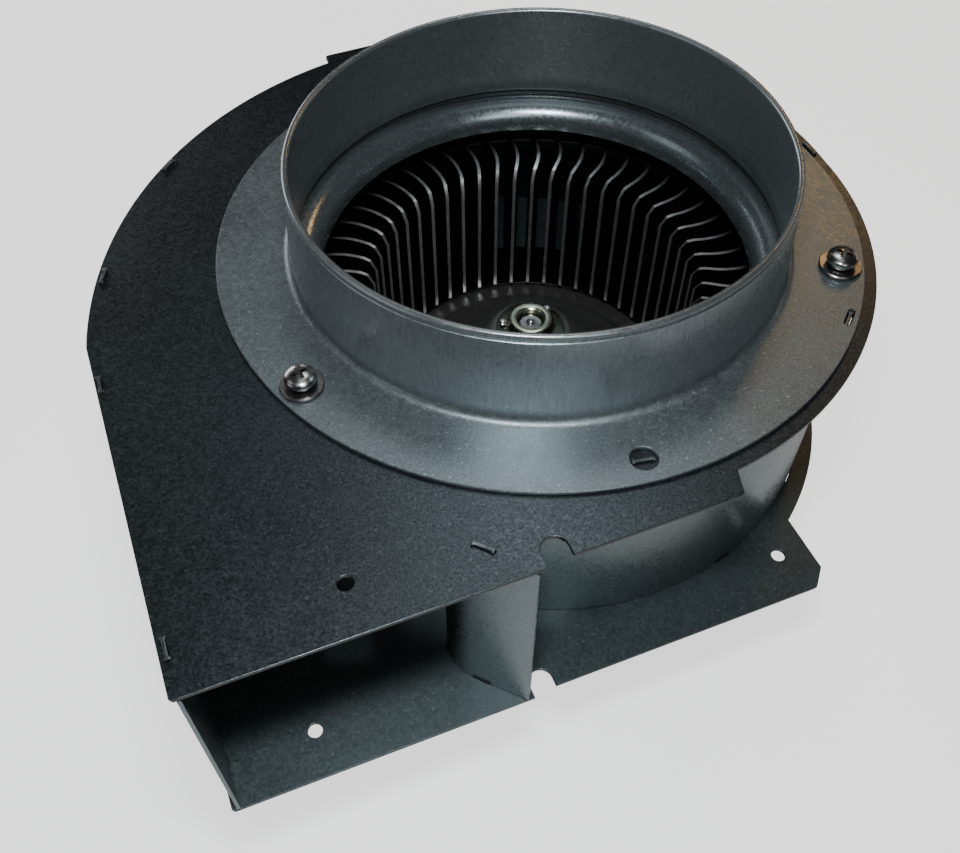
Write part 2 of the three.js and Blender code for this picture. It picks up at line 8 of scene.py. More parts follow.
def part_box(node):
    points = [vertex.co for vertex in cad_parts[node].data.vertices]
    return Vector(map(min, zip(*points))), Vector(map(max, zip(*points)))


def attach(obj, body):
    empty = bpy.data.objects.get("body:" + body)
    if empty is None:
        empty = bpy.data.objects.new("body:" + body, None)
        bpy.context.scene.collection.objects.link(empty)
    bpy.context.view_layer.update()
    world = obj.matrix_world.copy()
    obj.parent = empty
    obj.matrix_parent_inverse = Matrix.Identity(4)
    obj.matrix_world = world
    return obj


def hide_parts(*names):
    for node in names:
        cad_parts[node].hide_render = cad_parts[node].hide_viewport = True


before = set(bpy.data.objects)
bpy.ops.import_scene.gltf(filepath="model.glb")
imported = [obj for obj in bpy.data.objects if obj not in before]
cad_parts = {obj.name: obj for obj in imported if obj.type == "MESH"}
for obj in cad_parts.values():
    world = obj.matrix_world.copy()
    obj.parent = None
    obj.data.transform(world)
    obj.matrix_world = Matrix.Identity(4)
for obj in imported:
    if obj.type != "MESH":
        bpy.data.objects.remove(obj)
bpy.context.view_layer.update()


# ---- Camera ----
# A hand-held view from above the outlet: to the front left, looking down at about 53 degrees.

camera_data = bpy.data.cameras.new("camera")
camera_data.sensor_width = 36
camera_data.lens = 39.1
camera_data.shift_x = 0.0278
camera_data.shift_y = 0.0203
camera_data.clip_start = 0.01
camera = bpy.data.objects.new("camera", camera_data)
turn, rise, roll = math.radians(-19.589), math.radians(52.762), math.radians(-1.916)
back = Vector((math.sin(turn) * math.cos(rise), -math.cos(turn) * math.cos(rise), math.sin(rise)))
level = Vector((0, 0, 1)).cross(back).normalized()
upward = back.cross(level)
right = level * math.cos(roll) + upward * math.sin(roll)
up = upward * math.cos(roll) - level * math.sin(roll)
aimed = Matrix((right, up, back)).transposed().to_4x4()
camera.matrix_world = Matrix.Translation((-0.1070, -0.2196, 0.34955)) @ aimed
bpy.context.scene.collection.objects.link(camera)
bpy.context.scene.camera = camera


# ---- Motor-side plate ----
# The lower side of the case: laser-cut galvanised sheet 1.2 mm thick, flat, with slots for the
# wall's lock tabs, a notch at the outlet's corner, and an ear at the back to hang the fan by.

MM = 0.001
LEFT, FRONT, FOOT = -135.6, -108.4, -107.2
TONGUE_START, TONGUE_LEAN = (-46.5, FRONT), 133.2
OUTLET_WALL = -133.6
FIXING_HOLE, SCREW_HOLE, FIXING_STEP = 2.2, 2.35, 20
MOUNT_CIRCLE, MOUNT_TURNS = 52, (0, 120, 240)


def add(tree, kind, inputs=None, **settings):
    """One node, with its settings, and its inputs as values or as sockets to join."""
    made = tree.nodes.new(kind)
    for name, value in settings.items():
        setattr(made, name, value)
    for name, value in (inputs or {}).items():
        if isinstance(value, bpy.types.NodeSocket):
            tree.links.new(value, made.inputs[name])
        else:
            made.inputs[name].default_value = value
    return made


def blend_colours(tree, factor, first, second, how="MIX"):
    mix = add(tree, "ShaderNodeMix", {0: factor, 6: first, 7: second}, data_type="RGBA", blend_type=how)
    return mix.outputs[2]


def maths(tree, how, *values):
    return add(tree, "ShaderNodeMath", dict(enumerate(values)), operation=how).outputs[0]


def ramp(tree, value, low, high, least=0.0, most=1.0):
    """Runs from least to most, as the value runs from low to high."""
    return add(tree, "ShaderNodeMapRange", {
        "Value": value, "From Min": low, "From Max": high, "To Min": least, "To Max": most}).outputs["Result"]


def noise(tree, place, scale, detail, roughness=0.5):
    return add(tree, "ShaderNodeTexNoise", {
        "Vector": place, "Scale": scale, "Detail": detail, "Roughness": roughness}).outputs["Fac"]


def on_piece(tree):
    """Where a point lies on its piece, in metres."""
    return add(tree, "ShaderNodeTexCoord").outputs["Object"]


def along_axis(tree, vector, axis):
    return add(tree, "ShaderNodeSeparateXYZ", {"Vector": vector}).outputs[axis]


def shader_group(name, inputs, outputs):
    """An empty shader node group with its sockets; gives back the group and its two ends."""
    group = bpy.data.node_groups.new(name, "ShaderNodeTree")
    for label, kind, value in inputs:
        socket = group.interface.new_socket(label, in_out="INPUT", socket_type="NodeSocket" + kind)
        socket.default_value = value
    for label, kind in outputs:
        group.interface.new_socket(label, in_out="OUTPUT", socket_type="NodeSocket" + kind)
    return group, add(group, "NodeGroupInput").outputs, add(group, "NodeGroupOutput").inputs


def zinc_skin_group():
    """The crystals, cloudiness and bright flecks of a hot-dip zinc coating."""
    group, given, out = shader_group(
        "zinc skin",
        [("Dark", "Color", (0.02, 0.025, 0.03, 1)), ("Light", "Color", (0.06, 0.07, 0.08, 1)),
         ("Crystals per metre", "Float", 1100.0), ("Crystal contrast", "Float", 0.12),
         ("Clouding", "Float", 0.5), ("Grit", "Float", 0.5), ("Flecks", "Float", 0.3),
         ("Roughness", "Float", 0.4)],
        [("Color", "Color"), ("Roughness", "Float"), ("Height", "Float")])
    place = on_piece(group)
    crystals = add(group, "ShaderNodeTexVoronoi", {"Vector": place, "Scale": given["Crystals per metre"]})
    tone = add(group, "ShaderNodeSeparateColor", {"Color": crystals.outputs["Color"]}).outputs[0]
    clouds = noise(group, place, 16, 3)
    grit = noise(group, place, 1500, 3, 0.7)
    cloudy = maths(group, "MULTIPLY", clouds, given["Clouding"])
    speckled = maths(group, "MULTIPLY_ADD", ramp(group, grit, 0.3, 0.7), given["Grit"], cloudy)
    blend = maths(group, "MULTIPLY_ADD", tone, given["Crystal contrast"], speckled)
    body = blend_colours(group, blend, given["Dark"], given["Light"])
    sparks = ramp(group, noise(group, place, 900, 1, 0.4), 0.66, 0.74)
    fleck = maths(group, "MULTIPLY", sparks, given["Flecks"])
    group.links.new(blend_colours(group, fleck, body, (0.50, 0.54, 0.55, 1)), out["Color"])
    patchy = maths(group, "MULTIPLY_ADD", tone, 0.10, given["Roughness"])
    smear = maths(group, "MULTIPLY_ADD", clouds, 0.16, patchy)
    group.links.new(maths(group, "SUBTRACT", smear, 0.13), out["Roughness"])
    group.links.new(maths(group, "MULTIPLY_ADD", tone, 0.4, grit), out["Height"])
    return group


zinc_skin = zinc_skin_group()


def cut_edge_group():
    """Masks the sheared edges of a flat sheet, which face sideways and show bare steel."""
    group, given, out = shader_group("cut edge", [("Strength", "Float", 1.0)], [("Mask", "Float")])
    facing = add(group, "ShaderNodeNewGeometry").outputs["Normal"]
    tilt = maths(group, "ABSOLUTE", along_axis(group, facing, "Z"))
    side = ramp(group, tilt, 0.9, 0.3)
    group.links.new(maths(group, "MULTIPLY", side, given["Strength"]), out["Mask"])
    return group


cut_edge = cut_edge_group()


def new_material(name):
    """A material with a Principled shader; gives back the material, its tree and the shader."""
    made = bpy.data.materials.new(name)
    made.use_nodes = True
    return made, made.node_tree, made.node_tree.nodes["Principled BSDF"]


def place_group(tree, group, values):
    made = tree.nodes.new("ShaderNodeGroup")
    made.node_tree = group
    for name, value in values.items():
        made.inputs[name].default_value = value
    return made.outputs


def join_up(tree, shader, colour, roughness, metallic, relief, strength, depth=0.00004):
    """Joins a finish to the shader; its relief is a bump of at most depth metres."""
    tree.links.new(colour, shader.inputs["Base Color"])
    tree.links.new(roughness, shader.inputs["Roughness"])
    shader.inputs["Metallic"].default_value = metallic
    bump = add(tree, "ShaderNodeBump", {"Height": relief, "Strength": strength, "Distance": depth})
    tree.links.new(bump.outputs[0], shader.inputs["Normal"])


def galvanised(name, dark, light, roughness, metallic, edges=1.0, relief=0.2, **skin):
    """Galvanised sheet steel, with its sheared edges showing bare."""
    made, tree, shader = new_material(name)
    coat = place_group(tree, zinc_skin, {"Dark": dark, "Light": light, "Roughness": roughness, **skin})
    bare = place_group(tree, cut_edge, {"Strength": edges})
    colour = blend_colours(tree, bare["Mask"], coat["Color"], (0.085, 0.088, 0.088, 1))
    join_up(tree, shader, colour, coat["Roughness"], metallic, coat["Height"], relief)
    return made


def show(name, mesh, *materials):
    """Puts a finished mesh in the scene, at the origin."""
    for material in materials:
        mesh.materials.append(material)
    made = bpy.data.objects.new(name, mesh)
    bpy.context.scene.collection.objects.link(made)
    return made


def smooth(mesh, crease=35):
    mesh.shade_smooth()
    mesh.set_sharp_from_angle(angle=math.radians(crease))


def baked(holder):
    """An object as its curve or its modifiers leave it, as a plain mesh."""
    bpy.context.view_layer.update()
    return bpy.data.meshes.new_from_object(holder.evaluated_get(bpy.context.evaluated_depsgraph_get()))


def closed_mesh(name, work, crease=35):
    """A closed shape as a mesh, its faces pointing outwards."""
    bmesh.ops.recalc_face_normals(work, faces=work.faces)
    mesh = bpy.data.meshes.new(name)
    work.to_mesh(mesh)
    work.free()
    smooth(mesh, crease)
    return mesh


def arc(centre, radius, first, last, step=6):
    """Points in mm along an arc, from the first angle to the last, in degrees."""
    count = max(2, round(abs(last - first) / step))
    turns = [math.radians(first + (last - first) * i / count) for i in range(count + 1)]
    return [(centre[0] + radius * math.cos(a), centre[1] + radius * math.sin(a)) for a in turns]


def circle(x, y, radius, step=15):
    return arc((x, y), radius, 0, 360, step)[:-1]


def sheet_mesh(name, loops, low, high, edge):
    """A flat sheet from its outline and holes in mm, its edges rounded by edge mm."""
    curve = bpy.data.curves.new(name, "CURVE")
    curve.dimensions = "2D"
    curve.fill_mode = "BOTH"
    for loop in loops:
        spline = curve.splines.new("POLY")
        spline.points.add(len(loop) - 1)
        for point, (x, y) in zip(spline.points, loop):
            point.co = (x * MM, y * MM, 0, 1)
        spline.use_cyclic_u = True
    curve.extrude = ((high - low) / 2 - edge) * MM
    curve.bevel_depth = edge * MM
    curve.bevel_resolution = 1
    curve.offset = -edge * MM
    holder = bpy.data.objects.new(name, curve)
    bpy.context.scene.collection.objects.link(holder)
    mesh = baked(holder)
    bpy.data.objects.remove(holder)
    bpy.data.curves.remove(curve)
    mesh.transform(Matrix.Translation((0, 0, (low + high) / 2 * MM)))
    mesh.materials.clear()
    work = bmesh.new()
    work.from_mesh(mesh)
    bmesh.ops.remove_doubles(work, verts=work.verts, dist=0.00002)
    bmesh.ops.recalc_face_normals(work, faces=work.faces)
    work.to_mesh(mesh)
    work.free()
    smooth(mesh, 12)
    return mesh


def scroll_radius(degrees):
    """The wall's middle, in mm from the shaft: it grows from the tongue round to the outlet."""
    s = (degrees + 120) / 300
    return 87 + 30 * s - 16 * s ** 2 + 33.4 * s ** 3


def scroll_point(degrees, margin=0.0):
    radius, a = scroll_radius(degrees) + margin, math.radians(degrees)
    return radius * math.cos(a), radius * math.sin(a)


def plate_outline(corner):
    """Outline of a case plate in mm, with its own corner at the front right."""
    (notch_x, notch_y), notch_radius = (-40.9, -104.1), 3.65
    ear_left, ear_right, ear_back = -31.5, 14, 116
    points = [(LEFT, FRONT + 0.8), (LEFT + 0.8, FRONT), (notch_x - notch_radius, FRONT)]
    points += arc((notch_x, notch_y), notch_radius, 180, 0, 10)
    points += [(notch_x + notch_radius, FOOT)] + corner
    first = math.degrees(math.atan2(corner[-1][1], corner[-1][0]))
    ear_done = False
    steps = int(180 - first)
    for i in range(1, steps):
        degrees = first + i * (180 - first) / steps
        radius = max(100.4, scroll_radius(degrees) + 2)
        x, y = radius * math.cos(math.radians(degrees)), radius * math.sin(math.radians(degrees))
        if y > 0 and ear_left < x < ear_right:
            if not ear_done:
                points.append((ear_right, y))
                points += arc((ear_right - 1, ear_back), 1, 0, 90, 30)
                points += arc((ear_left + 1, ear_back), 1, 90, 180, 30)
                ear_done = True
            ear_edge = (ear_left, y)
            continue
        if ear_done and ear_edge:
            points.append(ear_edge)
            ear_edge = None
        points.append((max(x, LEFT), y))
    return points + [(LEFT, 0)]


def tab_places(extra):
    """Where the wall's lock tabs stand on one side: x, y in mm and the wall's direction in degrees."""
    lean = math.radians(TONGUE_LEAN)
    places = [(TONGUE_START[0] + 15 * math.cos(lean), FRONT + 15 * math.sin(lean), TONGUE_LEAN)]
    for degrees in (extra, -45, 2, 48, 95, 142, 166):
        (ax, ay), (bx, by) = scroll_point(degrees - 1), scroll_point(degrees + 1)
        places.append((*scroll_point(degrees), math.degrees(math.atan2(by - ay, bx - ax))))
    top_x, top_y = scroll_point(180)
    for y in (-11, -95.7):
        share = (y - top_y) / (FRONT - top_y)
        places.append((top_x + share * (OUTLET_WALL - top_x), y, 90))
    return places


def slot_loop(x, y, direction, length=6.5, width=1.25):
    """A slot with rounded ends."""
    a = math.radians(direction)
    reach = (length - width) / 2
    loop = arc((reach, 0), width / 2, -90, 90, 30) + arc((-reach, 0), width / 2, 90, 270, 30)
    return [(x + u * math.cos(a) - v * math.sin(a), y + u * math.sin(a) + v * math.cos(a)) for u, v in loop]


def polar(radius, degrees):
    return radius * math.cos(math.radians(degrees)), radius * math.sin(math.radians(degrees))


lower_sheet = galvanised("lower case sheet", (0.030, 0.042, 0.046, 1), (0.125, 0.165, 0.175, 1), 0.42, 0.7,
                         relief=0.1, Clouding=0.5, Grit=0.35, Flecks=0.15)
motor_tabs = tab_places(-71)
plate_low, plate_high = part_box("motor_side_plate")
holes = [circle(-107.6, -94.3, FIXING_HOLE), circle(47, -92.8, FIXING_HOLE), circle(0, 0, 24, 4)]
holes += [circle(*polar(MOUNT_CIRCLE, degrees), SCREW_HOLE, FIXING_STEP) for degrees in MOUNT_TURNS]
outline = plate_outline([(51.6, FOOT), (52.4, FOOT + 0.2), (57.3, -101.6), (57.3, -82.4)])
motor_plate = show("motor_side_plate_sheet", sheet_mesh(
    "motor_side_plate_sheet", [outline] + holes + [slot_loop(*place) for place in motor_tabs],
    plate_low[2] / MM, plate_high[2] / MM, 0.15), lower_sheet)
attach(motor_plate, "casing")
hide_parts("motor_side_plate")


# ---- Scroll wall ----
# One strip of galvanised sheet 1 mm thick, rolled to the scroll: it starts at the outlet's right
# edge, folds back round the tongue, runs round the impeller and ends at the outlet's left edge.

FLOOR, CEILING = 61.2, 134.0


def wall_path():
    """The strip's middle line in mm."""
    start, bend = Vector(TONGUE_START), 12.4
    straight = [start.lerp(start + 18.3 * Vector(polar(1, TONGUE_LEAN)), i / 4) for i in range(5)]
    centre = straight[-1] + bend * Vector(polar(1, TONGUE_LEAN - 90))
    points = [tuple(p) for p in straight] + arc(centre, bend, TONGUE_LEAN + 90, 58, 6)[1:]
    points += [scroll_point(-118.5 + 1.5 * i) for i in range(200)]
    end = Vector(scroll_point(180))
    return points + [tuple(end.lerp(Vector((OUTLET_WALL, FRONT)), (i + 1) / 8)) for i in range(8)]


def strip_mesh(name, path, thickness, low, high, edge):
    """A strip standing on edge along a path: its section is a rectangle with rounded corners."""
    half = thickness / 2
    section = [(-half, low + edge), (-half + edge, low), (half - edge, low), (half, low + edge),
               (half, high - edge), (half - edge, high), (-half + edge, high), (-half, high - edge)]
    work = bmesh.new()
    rows = []
    for i, here in enumerate(path):
        before, after = Vector(path[max(i - 1, 0)]), Vector(path[min(i + 1, len(path) - 1)])
        along = (after - before).normalized()
        across = Vector((-along.y, along.x))
        rows.append([work.verts.new(((here[0] + across.x * u) * MM, (here[1] + across.y * u) * MM, z * MM))
                     for u, z in section])
    for row, after in zip(rows, rows[1:]):
        for j in range(len(section)):
            work.faces.new((row[j], row[j - 1], after[j - 1], after[j]))
    work.faces.new(rows[0])
    work.faces.new(rows[-1][::-1])
    return closed_mesh(name, work)


wall_sheet = galvanised("scroll wall sheet", (0.15, 0.18, 0.19, 1), (0.35, 0.40, 0.41, 1), 0.30, 0.92,
                        edges=0.0, relief=0.01, Clouding=0.6, Grit=0.2, Flecks=0.08)
tree = wall_sheet.node_tree
shader = tree.nodes["Principled BSDF"]
# Painted shade: the wall's inner face, which looks towards the shaft, is painted almost black except near the
# outlet's front, standing in for the shade inside the case.
place = on_piece(tree)
normal = add(tree, "ShaderNodeNewGeometry").outputs["Normal"]
facing = add(tree, "ShaderNodeVectorMath", {0: normal, 1: place}, operation="DOT_PRODUCT")
inner_face = ramp(tree, facing.outputs["Value"], 0.0, -0.02)
behind_wheel = ramp(tree, along_axis(tree, place, "Y"), -0.08, -0.03)
painted_shade = maths(tree, "MULTIPLY", inner_face, behind_wheel)
unshaded_colour = shader.inputs["Base Color"].links[0].from_socket
tree.links.new(blend_colours(tree, painted_shade, unshaded_colour, (0.018, 0.018, 0.019, 1)), shader.inputs["Base Color"])
wall = show("scroll_wall_strip", strip_mesh(
    "scroll_wall_strip", wall_path(), 1.0, FLOOR + 0.3, CEILING - 0.3, 0.15), wall_sheet)
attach(wall, "casing")
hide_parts("scroll_wall")


# ---- Lock tabs ----
# Ends of the wall's own sheet that stand through the slots of both plates. A punch has spread the
# two ends of each, so that it can't slip back through its slot: that holds the case together.

def geometry_tree(name, inputs):
    """A Geometry Nodes tree with named inputs; gives back the tree and its two ends."""
    tree = bpy.data.node_groups.new(name, "GeometryNodeTree")
    tree.interface.new_socket("Geometry", in_out="INPUT", socket_type="NodeSocketGeometry")
    for label, kind, value in inputs:
        socket = tree.interface.new_socket(label, in_out="INPUT", socket_type="NodeSocket" + kind)
        if value is not None:
            socket.default_value = value
    tree.interface.new_socket("Geometry", in_out="OUTPUT", socket_type="NodeSocketGeometry")
    return tree, add(tree, "NodeGroupInput").outputs, add(tree, "NodeGroupOutput").inputs


def finished(tree, made, given, out):
    """The end of a tree: its copies made real, in their material."""
    plain = add(tree, "GeometryNodeRealizeInstances", {"Geometry": made.outputs[0]})
    dressed = add(tree, "GeometryNodeSetMaterial", {
        "Geometry": plain.outputs[0], "Material": given["Material"]})
    tree.links.new(dressed.outputs[0], out["Geometry"])
    return tree


def places_tree():
    """Copies of one piece, one at each point, turned about Z by the point's turn."""
    tree, given, out = geometry_tree("copies at places", [
        ("Piece", "Object", None), ("Material", "Material", None)])
    piece = add(tree, "GeometryNodeObjectInfo", {"Object": given["Piece"], "As Instance": True})
    turn_value = add(tree, "GeometryNodeInputNamedAttribute", {"Name": "turn"}, data_type="FLOAT")
    angles = add(tree, "ShaderNodeCombineXYZ", {"Z": turn_value.outputs["Attribute"]})
    placed = add(tree, "GeometryNodeInstanceOnPoints", {
        "Points": given["Geometry"], "Instance": piece.outputs["Geometry"], "Rotation": angles.outputs[0]})
    return finished(tree, placed, given, out)


copies_at_places = places_tree()


def evaluate(name, tree, values, points=None):
    """Runs a Geometry Nodes tree on a set of points and keeps the result as a plain mesh."""
    base = bpy.data.meshes.new(name + " places")
    base.from_pydata([point[:3] for point in points or [(0, 0, 0)]], [], [])
    turns = base.attributes.new("turn", "FLOAT", "POINT")
    for i, point in enumerate(points or [(0, 0, 0, 0)]):
        turns.data[i].value = point[3]
    holder = bpy.data.objects.new(name, base)
    bpy.context.scene.collection.objects.link(holder)
    modifier = holder.modifiers.new(name, "NODES")
    modifier.node_group = tree
    for item in tree.interface.items_tree:
        if item.item_type == "SOCKET" and item.in_out == "INPUT" and item.name in values:
            modifier[item.identifier] = values[item.name]
    mesh = baked(holder)
    mesh.name = name
    bpy.data.objects.remove(holder)
    bpy.data.meshes.remove(base)
    return mesh


def copies(name, pattern, places, material):
    """Places copies of a pattern mesh, each at x, y, z in mm and a turn in degrees."""
    source = bpy.data.objects.new(name + " pattern", pattern)
    bpy.context.scene.collection.objects.link(source)
    points = [(x * MM, y * MM, z * MM, math.radians(degrees)) for x, y, z, degrees in places]
    mesh = evaluate(name, copies_at_places, {"Piece": source, "Material": material}, points)
    bpy.data.objects.remove(source)
    mesh.materials.clear()
    return show(name, mesh, material)


def joined(name, *meshes):
    """Several meshes as one."""
    work = bmesh.new()
    for mesh in meshes:
        work.from_mesh(mesh)
    made = bpy.data.meshes.new(name)
    work.to_mesh(made)
    work.free()
    smooth(made)
    return made


def tab_mesh():
    """One lock tab: a tongue of the wall's sheet through its slot, its two ends spread by a punch."""
    tongue = sheet_mesh("tongue", [[(-3, -0.5), (3, -0.5), (3, 0.5), (-3, 0.5)]], -2.2, 1.9, 0.12)
    flared = [(-3.1, -0.85), (-2.5, -0.8), (-2.2, -0.5), (2.2, -0.5), (2.5, -0.8), (3.1, -0.85),
              (3.1, 0.85), (2.5, 0.8), (2.2, 0.5), (-2.2, 0.5), (-2.5, 0.8), (-3.1, 0.85)]
    return joined("lock tab", tongue, sheet_mesh("spread ends", [flared], 1.3, 2.15, 0.16))


tab_steel = galvanised("lock tab steel", (0.03, 0.036, 0.04, 1), (0.15, 0.17, 0.18, 1), 0.34, 0.85,
                       edges=0.5, Clouding=0.6, Flecks=0.1)
inlet_tabs = tab_places(-96)
upper_places = [(x, y, CEILING, direction) for x, y, direction in inlet_tabs]
upper_lock_tabs = copies("lock_tabs_inlet_side", tab_mesh(), upper_places, tab_steel)
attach(upper_lock_tabs, "casing")

lower_tab = tab_mesh()
lower_tab.transform(Matrix.Rotation(math.pi, 4, "X"))
lower_places = [(x, y, FLOOR, direction) for x, y, direction in motor_tabs]
lower_lock_tabs = copies("lock_tabs_motor_side", lower_tab, lower_places, tab_steel)
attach(lower_lock_tabs, "casing")


# ---- Inlet-side plate ----
# The upper side of the case, the same 1.2 mm sheet with a darker, duller coating. The large hole
# takes the bell mouth, and three small ones the flange screws.

SCREW_CIRCLE, SCREW_TURNS = 89.5, (-158.4, -32.5, 84.5)

upper_sheet = galvanised("upper case sheet", (0.008, 0.011, 0.013, 1), (0.072, 0.087, 0.096, 1), 0.35, 0.85,
                         Clouding=0.2, Grit=0.7, Flecks=0.06)
plate_low, plate_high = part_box("inlet_side_plate")
holes = [circle(-90.5, -94.4, FIXING_HOLE), circle(0, 0, 74.0, 2)]
holes += [circle(*polar(SCREW_CIRCLE, degrees), SCREW_HOLE, FIXING_STEP) for degrees in SCREW_TURNS]
outline = plate_outline([(8.9, FOOT), (9.5, FOOT + 0.4), (11.6, -99.7)])
inlet_plate = show("inlet_side_plate_sheet", sheet_mesh(
    "inlet_side_plate_sheet", [outline] + holes + [slot_loop(*place) for place in inlet_tabs],
    plate_low[2] / MM, plate_high[2] / MM, 0.15), upper_sheet)
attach(inlet_plate, "casing")
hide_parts("inlet_side_plate")


# ---- Inlet bell mouth ----
# A spun ring of thin steel, clamped under the inlet-side plate. Its rolled edge turns down into
# the impeller's eye and leads the air in without a sharp corner.

def lathe(name, profile, steps=192, crease=35):
    """A closed profile, radius and height in mm, turned round the shaft's axis."""
    work = bmesh.new()
    rings = []
    for i in range(steps):
        c, s = math.cos(2 * math.pi * i / steps), math.sin(2 * math.pi * i / steps)
        rings.append([work.verts.new((r * c * MM, r * s * MM, z * MM)) for r, z in profile])
    for i, ring in enumerate(rings):
        before = rings[i - 1]
        for j in range(len(profile)):
            work.faces.new((before[j - 1], before[j], ring[j], ring[j - 1]))
    bmesh.ops.remove_doubles(work, verts=work.verts, dist=0.000004)
    return closed_mesh(name, work, crease)


def stretched(tree, place, amount):
    return add(tree, "ShaderNodeVectorMath", {0: place, 1: amount}, operation="MULTIPLY").outputs[0]


def drawn_marks_group():
    """Fine scratches left by the forming tool: across a collar, or round a spun ring."""
    group, given, out = shader_group(
        "tool marks", [("Stretch", "Vector", (1, 1, 0.02)), ("Lines per metre", "Float", 1500.0),
                       ("Contrast", "Float", 0.5)], [("Mask", "Float")])
    pulled = stretched(group, on_piece(group), given["Stretch"])
    lines = noise(group, pulled, given["Lines per metre"], 3, 0.65)
    centred = maths(group, "SUBTRACT", lines, 0.5)
    group.links.new(maths(group, "MULTIPLY_ADD", centred, given["Contrast"], 0.5), out["Mask"])
    return group


tool_marks = drawn_marks_group()

bell_steel, tree, shader = new_material("spun bell mouth steel")
coat = place_group(tree, zinc_skin, {
    "Dark": (0.16, 0.19, 0.205, 1), "Light": (0.29, 0.335, 0.355, 1), "Crystal contrast": 0.03,
    "Clouding": 0.6, "Grit": 0.15, "Flecks": 0.0, "Roughness": 0.26})
marks = place_group(tree, tool_marks, {"Stretch": (0.04, 0.04, 1), "Lines per metre": 2600, "Contrast": 0.7})
colour = blend_colours(tree, 0.35, coat["Color"], marks["Mask"], "OVERLAY")
join_up(tree, shader, colour, coat["Roughness"], 0.85, marks["Mask"], 0.06)

roll_centre = (73.7, 126.2)
bell_profile = [(83.8, 132.7), (84, 132.9), (84, 133.5), (83.8, 133.7)] + arc(roll_centre, 7.5, 90, 180)
bell_profile += [(66.2, 124.9), (66.5, 124.7), (66.9, 124.7), (67.2, 124.9)] + arc(roll_centre, 6.5, 180, 90)
bell = show("inlet_bell_mouth_ring", lathe("inlet_bell_mouth_ring", bell_profile), bell_steel)
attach(bell, "casing")
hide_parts("inlet_bell_mouth")


# ---- Inlet spigot ----
# A flange and collar drawn from one disc of 1.2 mm galvanised steel, for a 150 mm duct. The collar
# keeps the upright scratches of the draw, the flange its bright spangle.

def with_holes(mesh, cutters):
    """Cuts closed tools out of a mesh, exactly, and gives the result as a new mesh."""
    body = show("holes in " + mesh.name, mesh)
    tools = [show("hole", cutter) for cutter in cutters]
    for tool in tools:
        hole = body.modifiers.new("hole", "BOOLEAN")
        hole.object = tool
        hole.solver = "EXACT"
    result = baked(body)
    for item in [body, *tools]:
        bpy.data.objects.remove(item)
    smooth(result, 30)
    return result


def pin(x, y, radius, low, high, ease, steps=32):
    """A cutting pin whose top widens by ease, so that the hole gets a soft edge."""
    wide, top = radius + ease, high + 2
    profile = [(0, low), (radius, low), (radius, high - ease), (wide, high), (wide, top), (0, top)]
    mesh = lathe("pin", profile, steps)
    mesh.transform(Matrix.Translation((x * MM, y * MM, 0)))
    return mesh


def from_shaft(tree, place):
    """How far a point is from the shaft's axis, in metres."""
    flat = stretched(tree, place, (1, 1, 0))
    return add(tree, "ShaderNodeVectorMath", {0: flat}, operation="LENGTH").outputs["Value"]


def spigot_steel_material():
    """Bright spangle on the flange; upright draw scratches and a polished rim on the collar."""
    made, tree, shader = new_material("drawn spigot steel")
    coat = place_group(tree, zinc_skin, {
        "Dark": (0.05, 0.062, 0.070, 1), "Light": (0.25, 0.29, 0.305, 1), "Crystals per metre": 850,
        "Clouding": 0.45, "Flecks": 0.34, "Roughness": 0.42})
    marks = place_group(tree, tool_marks, {"Stretch": (1, 1, 0.02), "Lines per metre": 2300, "Contrast": 0.8})
    place = on_piece(tree)
    height = along_axis(tree, place, "Z")
    on_collar = ramp(tree, height, 0.1385, 0.1415)
    outside = ramp(tree, from_shaft(tree, place), 0.0718, 0.0722, 0.0, 0.5)
    even = blend_colours(tree, 0.85, coat["Color"], (0.29, 0.33, 0.35, 1))
    collar = blend_colours(tree, outside, even, marks["Mask"], "OVERLAY")
    colour = blend_colours(tree, on_collar, coat["Color"], collar)
    at_rim = ramp(tree, height, 0.1665, 0.1671)
    polished = blend_colours(tree, at_rim, colour, (0.20, 0.215, 0.22, 1))
    smoother = maths(tree, "MULTIPLY_ADD", on_collar, -0.12, coat["Roughness"])
    relief = add(tree, "ShaderNodeMix", {0: on_collar, 2: coat["Height"], 3: marks["Mask"]}).outputs[0]
    join_up(tree, shader, polished, smoother, 0.8, relief, 0.04)
    return made


spigot_profile = [(73.17, 139.8), (73.2, 137.0)] + arc((74.7, 137.0), 1.5, 180, 270, 15)
spigot_profile += [(78.1, 135.5), (96.0, 135.5), (96.4, 135.5), (96.6, 135.7), (96.6, 136.5), (96.4, 136.7)]
spigot_profile += [(96.0, 136.7), (77.5, 136.7)] + arc((76.9, 139.2), 2.5, 270, 180, 10)
spigot_profile += [(74.37, 139.8), (72.78, 163.9), (72.7, 164.5), (72.42, 164.75), (72.42, 164.95),
                   (72.75, 165.2)]
spigot_profile += arc((71.85, 166.2), 1.0, 0, 180, 15) + [(71.1, 165.0), (71.35, 164.2)]
tab_x, tab_y, tab_turn = inlet_tabs[1]
slot_x, slot_y, slot_turn = inlet_tabs[2]
cutters = [pin(*polar(SCREW_CIRCLE, degrees), SCREW_HOLE, 130, 136.7, 0.15) for degrees in SCREW_TURNS]
cutters.append(pin(tab_x, tab_y, 3.7, 130, 136.7, 0.25, 48))
cutters.append(sheet_mesh("slot tool", [slot_loop(slot_x, slot_y, slot_turn, 7.2, 2.2)], 130, 140, 0.01))
spigot_mesh = with_holes(lathe("inlet_spigot_collar", spigot_profile, 240), cutters)
spigot = show("inlet_spigot_collar", spigot_mesh, spigot_steel_material())
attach(spigot, "casing")
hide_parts("inlet_spigot")


# ---- Flange screws ----
# Three M4 pan-head screws with a cross recess, each on a split spring washer and a wide flat
# washer, hold the spigot and the bell mouth to the inlet-side plate. Nickel-plated steel.

